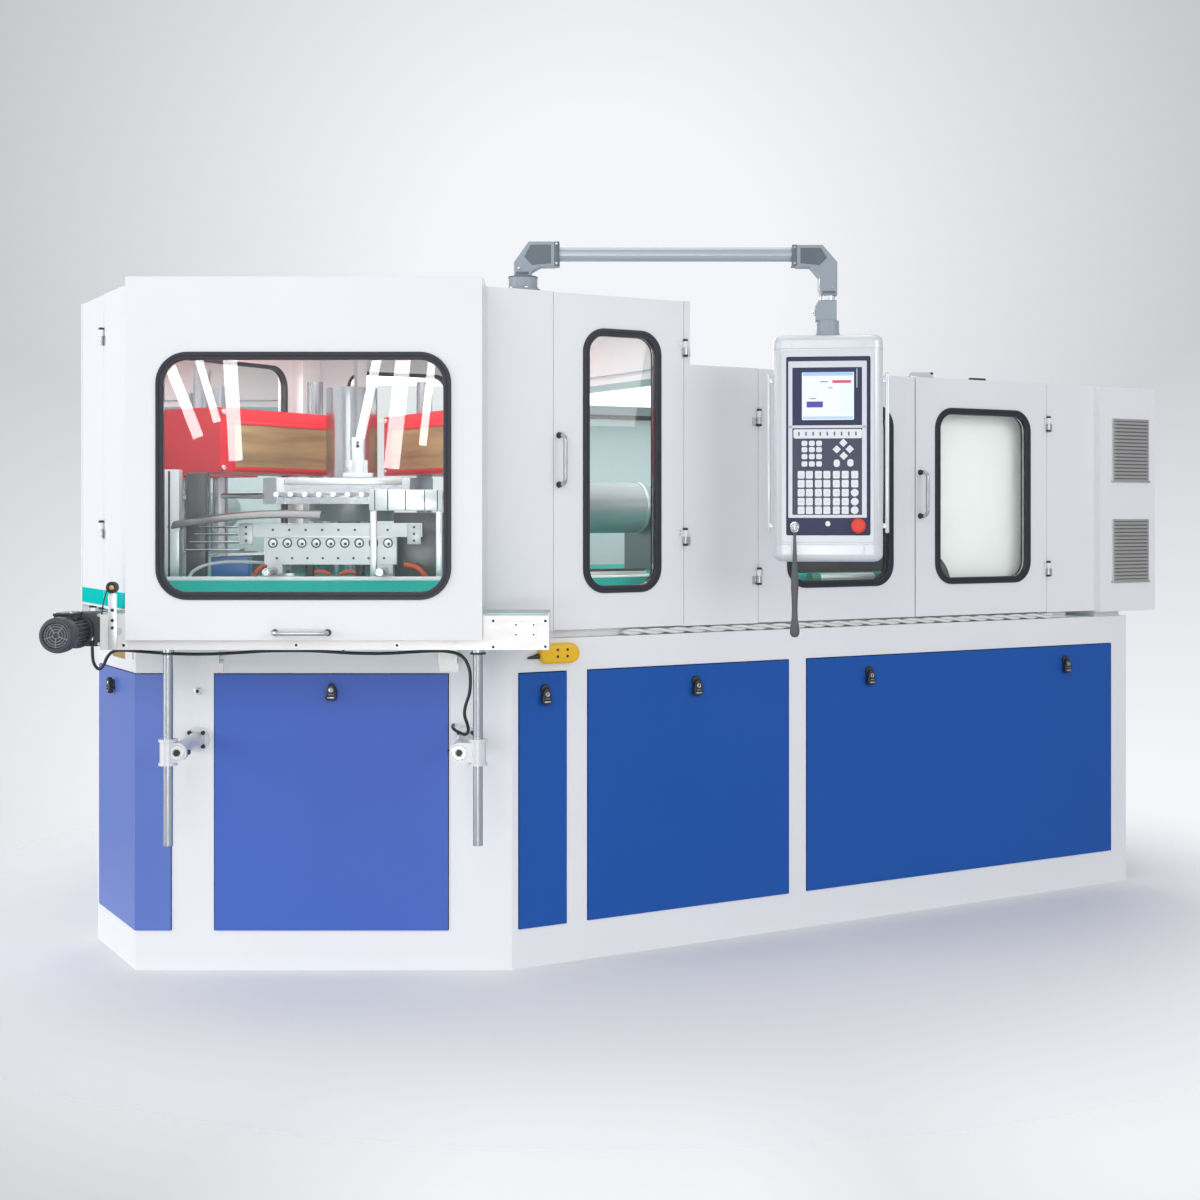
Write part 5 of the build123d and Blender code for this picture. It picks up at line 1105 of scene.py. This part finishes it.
comb_dots += [(x, 0.1272, z) for x in (-0.874, -0.326) for z in (1.368, 1.390, 1.412)]
comb_dots += [(comb_x + (i - 3.5) * 0.0500, 0.1358, 1.3105) for i in range(8)]
studs("comb_screws", "stripper", comb_dots, 0.0085, 0.0085, 0.00425, 0.0015, black_plastic,
      to_face)

black, orange, grey, steel, blue, dark, white = range(7)
inside = Shape()
for x in (-0.672, -0.504):
    inside.turned([(0.018, 0), (0.018, 0.012), (0.0145, 0.014), (0.0145, 0.036), (0.0165, 0.038),
                   (0.0165, 0.0465), (0, 0.0465)], (x, 0.165, bed_top), (0, 0, 1), 24, black)
    inside.block((x - 0.034, 0.150, bed_top), (x + 0.034, 0.180, 1.2500), 0.002, black)
for x in (-0.744, -0.434):
    inside.block((x - 0.020, 0.160, bed_top), (x + 0.020, 0.185, 1.2600), 0.002, steel)
tube_along(inside, [(-0.655, 0.160, 1.262), (-0.640, 0.158, 1.266), (-0.622, 0.160, 1.263),
                    (-0.607, 0.165, 1.256)], 0.0065, orange)
tube_along(inside, [(-0.521, 0.160, 1.262), (-0.536, 0.158, 1.266), (-0.556, 0.160, 1.263),
                    (-0.572, 0.165, 1.256)], 0.0065, orange)
tube_along(inside, [(-0.866, 0.205, 1.2400), (-0.856, 0.205, 1.2600), (-0.838, 0.207, 1.2780),
                    (-0.812, 0.215, 1.2880)], 0.0085, orange)
tube_along(inside, [(-0.292, 0.195, 1.2400), (-0.306, 0.195, 1.2620), (-0.330, 0.198, 1.2800),
                    (-0.366, 0.205, 1.2860)], 0.0095, orange)
tube_along(inside, [(-1.045, 0.068, 1.2500), (-1.034, 0.078, 1.2700), (-0.995, 0.095, 1.2900),
                    (-0.930, 0.110, 1.2990), (-0.850, 0.120, 1.2980), (-0.790, 0.200, 1.2900)], 0.0055, grey)
inside.block((-1.005, 0.200, bed_top), (-0.880, 0.260, 1.3120), 0.004, blue)
inside.block((-1.157, 0.125, bed_top), (-1.092, 0.175, 1.6000), 0.003, steel)
inside.block((-1.128, 0.1235, 1.2450), (-1.121, 0.1265, 1.5950), 0.0008, black)
inside.block((-1.085, 0.190, bed_top), (-1.020, 0.230, 1.5900), 0.003, dark)
for i, z in enumerate((1.332, 1.358, 1.384, 1.408)):
    inside.block((-1.088 + 0.016 * i, 0.185, z), (-0.905 + 0.010 * i, 0.262, z + 0.007), 0.0015, dark)
    inside.block((-1.088 + 0.016 * i, 0.1835, z + 0.0045), (-0.905 + 0.010 * i, 0.1855, z + 0.0072), 0.0005,
                 steel)
inside.block((-0.4700, 0.110, 1.4660), (-0.2320, 0.122, 1.5340), 0.002, steel)
inside.block((-0.4020, 0.212, bed_top), (-0.2300, 0.222, 1.4600), 0.002, dark)
for x in (-0.452, -0.410, -0.352, -0.290, -0.248):
    inside.block((x - 0.0015, 0.1085, 1.4675), (x + 0.0015, 0.1110, 1.5325), 0.0005, black)
for x in (-0.458, -0.244):
    inside.block((x - 0.010, 0.120, bed_top), (x + 0.010, 0.132, 1.4700), 0.001, steel)
# white strip along the bed's top edge: a painted highlight
inside.block((-1.130, 0.0590, 1.2400), (-0.1260, 0.0700, 1.2530), 0.002, white)
arc = []
for i in range(25):
    t = i / 24
    arc.append((-1.105 + 0.480 * t, 1.4330 + 0.042 * sin(pi * min(1, t * 1.15) * 0.5) - 0.010 * t * t))
inside.loops([[(x, y, z + dz) for x, z in arc] + [(x, y, z + dz - 0.005) for x, z in reversed(arc)]
              for y, dz in ((0.070, -0.022), (0.088, -0.006), (0.125, 0.0), (0.182, -0.004))], dark,
             ends=True)
inside.block((-1.100, 0.120, 1.4000), (-1.088, 0.175, 1.4360), 0.001, steel)
inside.done("hood_inside", "machine", "aluminium", black_plastic, orange_hose, grey_hose, inner_steel,
            cabin_blue, air_dark, white_paint, place=to_face)

# Upper platens and the turret's post. Streaked brown heat shields are sunk in the platens' painted faces and
# four bolts hold each platen; the post is a white casting with two dark sockets above the core bar.
streaked = textured("heat shield", (0.62, 0.40, 0.19), (0.03, 0.018, 0.012), 0.5, 0.2, scale=2.6,
                    stretch=(1, 1, 11), bump=0.3, fine=40)
turret_at = Matrix.Translation((-1.056692, 0, 0))
for number, turn in ((1, 30), (2, -90)):
    shield = Shape()
    slab(shield, (-0.2960, 0.2140, 1.6190, 1.7690), 0.004, 0.2810, 0.2785, 0)
    frame_ring(shield, (-0.3060, 0.2240, 1.6090, 1.7790), (-0.2960, 0.2140, 1.6190, 1.7690), 0.004, 0.2810,
               0.2760, 1)
    for x in (-0.355, 0.355):
        for z in (1.615, 1.808):
            shield.turned([(0, 0), (0.009, 0), (0.009, 0.004), (0.0075, 0.006), (0.004, 0.006), (0, 0.003)],
                          (x, 0.2802, z), (0, -1, 0), 20, 2)
    shield.done("heat_shield_%d" % number, "platens", "red_paint", streaked, red_paint, inner_steel,
                place=turret_at @ Matrix.Rotation(radians(turn), 4, "Z"))
post = Shape()
post.block((-0.570, 0.415, 1.5790), (-0.530, 0.440, 1.7180), 0.003, 0)
post.block((-0.600, 0.412, 1.5790), (-0.500, 0.445, 1.5960), 0.002, 0)
post.block((-0.582, 0.418, 1.5960), (-0.518, 0.440, 1.6400), 0.002, 0)
for z, r in ((1.7000, 0.0045), (1.6880, 0.0060)):
    post.turned([(0, 0), (r, 0), (r, 0.0012), (0, 0.0014)], (-0.550, 0.4152, z), (0, -1, 0), 16, 1)
for x in (-0.815, -0.385):
    post.block((x - 0.012, 0.4130, 1.4920), (x + 0.012, 0.4165, 1.5785), 0.001, 0)
post.block((-0.800, 0.4100, 1.5560), (-0.400, 0.4162, 1.5780), 0.002, 2)
post.done("turret_post", "turret", "steel", cast_white, black_plastic, inner_steel, place=to_face)

# Behind the long side's windows: a white liner, whose white is lighter than the machine's as painted light,
# with a black bellows end, a steadying bar with green ends, a guide rail on the bed, a black cable duct, and
# the grey sheet guards of the heated barrel.
deck_top = 1.0522
green_plastic = textured("green caps", (0.01, 0.20, 0.13), (0.015, 0.26, 0.17), 0.4, scale=40)
# lighter than the white powder coat: painted light that makes up for the light the windows' glass holds back
liner_white_painted_light = textured("liner white painted light", (0.93, 0.93, 0.91), (0.88, 0.88, 0.86), 0.5, scale=2)
liner, black, bright, green = range(4)
lining = Shape()
lining.block((0.850, -0.770, deck_top), (1.600, -0.764, 1.9290), 0.001, liner)
lining.turned([(0, -0.004), (0.128, -0.004), (0.132, 0.0), (0.128, 0.006), (0.108, 0.012), (0.100, 0.030),
               (0.094, 0.034), (0, 0.036)], (0.905, -0.772, 1.187), (0, -1, 0), 56, black)
lining.turned([(0.017, 0.020), (0.017, 0.290), (0.010, 0.290)], (0.4425, -0.700, 1.2235), (1, 0, 0), 28,
              bright)
for x in (0.4325, 0.7205):
    lining.turned([(0, 0), (0.0185, 0), (0.0195, 0.002), (0.0195, 0.038), (0.0185, 0.040), (0, 0.040)],
                  (x, -0.700, 1.2235), (1, 0, 0), 28, green)
lining.block((0.240, -0.640, bed_top), (0.860, -0.620, 1.4400), 0.003, black)
lining.block((-0.680, -0.803, deck_top), (-0.110, -0.799, 1.1100), 0.001, liner)
lining.block((-0.060, -0.803, deck_top), (1.600, -0.799, 1.1100), 0.001, liner)
for x in (0.480, 0.700):
    lining.block((x - 0.006, -0.708, deck_top), (x + 0.006, -0.692, 1.2080), 0.001, liner)
lining.block((-0.640, -0.700, bed_top), (-0.170, -0.500, 1.2450), 0.001, liner)
lining.block((-0.620, -0.600, 1.2450), (-0.200, -0.560, 1.2570), 0.002, bright)
lining.block((-0.620, -0.592, 1.2555), (-0.200, -0.568, 1.2660), 0.002, black)
lining.block((-0.560, -0.585, 1.2650), (-0.440, -0.565, 1.2920), 0.003, bright)
lining.block((-0.120, 0.790, 1.8720), (1.500, 0.812, 1.8900), 0.002, black)
lining.done("inner_linings", "machine", "white_paint", liner_white_painted_light, black_plastic, light_metal, green_plastic)
barrel_z, guard_radius = 1.4798, 0.098
guard = Shape()
for x0, x1 in ((-0.330, 0.130), (0.265, 0.835), (0.965, 1.440)):
    guard.loops([[(x, guard_radius * cos(2 * pi * i / 40),
                   barrel_z + guard_radius * sin(2 * pi * i / 40)) for i in range(40)]
                 for x in (x0, x1)], 0, ends=True)
    for x in (x0 + 0.012, x1 - 0.012):
        guard.turned([(0.0982, -0.006), (0.1010, -0.005), (0.1010, 0.005), (0.0982, 0.006)], (x, 0, barrel_z),
                     (1, 0, 0), 40, 1)
guard_grey = textured("guard sheet", (0.46, 0.47, 0.48), (0.38, 0.39, 0.41), 0.38, 0.4, scale=6,
                      stretch=(1, 5, 5), bump=0.15)
guard.done("barrel_guards", "machine", "steel", guard_grey, inner_steel)

# Back of the machine. Painted strips cover the joints of the sheets and round-headed screws hold them; flush
# quarter-turn locks close the blue panels, which are only taken off for service.
strip_spots = (0.340, 0.900, 1.460)
strips = Shape()
for x in strip_spots:
    strips.block((x - 0.022, 0.8418, 1.0760), (x + 0.022, 0.8438, 1.9050), 0.0006)
strips.block((-0.0850, 0.8418, 1.9050), (1.6500, 0.8438, 1.9260), 0.0006)
strips.done("back_strips", "machine", "white_paint", white_paint)
half_turn = Matrix.Rotation(pi, 4, "Z")
heads = [(-x + side * 0.012, -0.8438, 1.110 + 0.128 * i) for x in strip_spots for i in range(7)
         for side in (-1, 1)]
studs("back_screws", "machine", heads, 0.0085, 0.0085, 0.00425, 0.0022, zinc, half_turn)
locks = Shape()
for _, x in side_latches:
    locks.turned([(0, 0), (0.0150, 0), (0.0150, 0.0006), (0.0135, 0.0014), (0.0085, 0.0014), (0.0080, 0.0008),
                  (0, 0.0008)], (x, 0.8461, 0.880), (0, 1, 0), 32, 0)
    locks.block((x - 0.0052, 0.8462, 0.8788), (x + 0.0052, 0.8474, 0.8812), 0.0003, 1)
locks.done("back_locks", "machine", "steel", zinc, black_plastic)

# Studio. The background is a pale grey that brightens behind the machine, and the floor is a round pale
# sheet that fades into it and takes the soft shadow.
backdrop = bpy.data.worlds.new("studio")
scene.world = backdrop
backdrop.use_nodes = True
sky = backdrop.node_tree
sky.nodes.clear()
way = put(sky, "ShaderNodeTexCoord")
nearest = None
for heading, added in (((0.50, 0.865, 0.13), 0.0), ((0.774, 0.708, -0.25), 0.0),
                       ((0.3257, 0.9666, -0.164), 0.05), ((0.50, 0.866, -0.42), 0.02)):
    away = put(sky, "ShaderNodeVectorMath", {"operation": "DISTANCE"}, Vector=way.outputs["Generated"])
    away.inputs[1].default_value = Vector(heading).normalized()
    further = reckon(sky, "ADD", away.outputs["Value"], added)
    nearest = reckon(sky, "MINIMUM", nearest, further) if nearest else further
fade = put(sky, "ShaderNodeValToRGB", Fac=nearest)
ramp = fade.color_ramp.elements
for i, (reach, colour) in enumerate(((0.10, (0.915, 0.92, 0.95)), (0.36, (0.56, 0.565, 0.59)),
                                     (0.75, (0.76, 0.765, 0.79)))):
    stop = ramp[i] if i < len(ramp) else ramp.new(reach)
    stop.position = reach
    stop.color = (*colour, 1)
seen = put(sky, "ShaderNodeBackground", Color=fade.outputs["Color"])
lit = put(sky, "ShaderNodeBackground", Color=(0.93, 0.95, 1.0, 1), Strength=0.53)
looks = put(sky, "ShaderNodeLightPath")
straight = reckon(sky, "MAXIMUM", looks.outputs["Is Camera Ray"], looks.outputs["Is Transmission Ray"])
put(sky, "ShaderNodeOutputWorld",
    Surface=blended(sky, straight, lit.outputs["Background"], seen.outputs["Background"]))

floor_mesh = bpy.data.meshes.new("floor")
ground = bmesh.new()
bmesh.ops.create_circle(ground, cap_ends=True, radius=14, segments=96)
ground.to_mesh(floor_mesh)
floor = bpy.data.objects.new("floor", floor_mesh)
scene.collection.objects.link(floor)
floor_paint, floor_surface = shader("pale floor", (0.80, 0.80, 0.82), 0.6)
floor_surface.inputs["Specular IOR Level"].default_value = 0
tree = floor_paint.node_tree
spot = put(tree, "ShaderNodeTexCoord")
reach = put(tree, "ShaderNodeVectorMath", {"operation": "LENGTH"}, Vector=spot.outputs["Object"])
edge = put(tree, "ShaderNodeMapRange", {"interpolation_type": "SMOOTHSTEP"}, From_Min=1.7, From_Max=3.3,
           Value=reach.outputs["Value"])
clear = put(tree, "ShaderNodeBsdfTransparent")
blend = blended(tree, edge.outputs["Result"], floor_surface.outputs["BSDF"], clear.outputs["BSDF"])
tree.links.new(blend, tree.nodes["Material Output"].inputs["Surface"])
floor_mesh.materials.append(floor_paint)


# Lamps. Large soft boxes stand round the machine, the low one lifts the ejection end's base, and two lie
# under the roofs; six narrow tubes in front of the hood show as white streaks in its glass.
def area_lamp(name, width, height, power):
    """A rectangle of even white light that the camera doesn't see."""
    lamp = bpy.data.lights.new(name, "AREA")
    lamp.shape = "RECTANGLE"
    lamp.size, lamp.size_y, lamp.energy = width, height, power
    holder = bpy.data.objects.new(name, lamp)
    holder.visible_camera = False
    scene.collection.objects.link(holder)
    return holder


def softbox(name, place, target, width, height, power):
    """A large lamp, turned towards a point."""
    holder = area_lamp(name, width, height, power)
    holder.location = place
    holder.rotation_euler = (Vector(target) - Vector(place)).to_track_quat("-Z", "Y").to_euler()


softbox("key_light", (-5.2, -5.6, 4.2), (-1.2, -0.8, 1.0), 4.0, 3.0, 70)
softbox("left_light", (-7.2, 0.7, 2.2), (-1.9, -0.1, 1.2), 3.0, 3.0, 185)
softbox("low_light", (-4.4, -6.6, 0.42), (-1.4, -1.1, 0.9), 3.5, 0.7, 66)
softbox("side_light", (1.4, -7.0, 3.3), (0.6, -0.8, 1.1), 4.0, 2.5, 92)
softbox("top_light", (0.0, 0.0, 5.5), (0.0, 0.0, 1.0), 5.0, 3.0, 62)
softbox("rear_light", (1.5, 6.0, 3.8), (0.0, 0.8, 1.2), 5.0, 3.0, 160)
softbox("cabin_light", (-1.15, -0.10, 2.125), (-1.15, -0.10, 1.0), 1.1, 0.9, 14)
softbox("screw_light", (0.75, 0.0, 1.915), (0.75, 0.0, 1.0), 1.7, 1.2, 9)

# each tube: where its upper and its lower end lie along the face, their heights, its width and its power
tubes = ((2.52, 2.30, 2.50, 1.95, 0.07, 1.5), (2.32, 2.18, 2.52, 2.05, 0.05, 1.0),
         (2.10, 2.06, 2.48, 1.80, 0.09, 2.2),
         (1.14, 1.26, 2.52, 1.95, 0.06, 1.3), (0.98, 1.06, 2.50, 1.75, 0.10, 2.4),
         (0.80, 0.86, 2.44, 1.90, 0.05, 1.1))
facing = to_face.to_3x3() @ Vector((0, 1, 0))
for number, (left, right, top, bottom, wide, power) in enumerate(tubes, 1):
    strip = area_lamp("strip_light_%d" % number, wide, Vector((left - right, top - bottom)).length, power)
    high, low = to_face @ Vector((-left, -6.2, top)), to_face @ Vector((-right, -6.2, bottom))
    upward = (high - low).normalized()
    strip.matrix_world = Matrix((facing.cross(upward), upward, -facing)).transposed().to_4x4()
    strip.location = (high + low) / 2
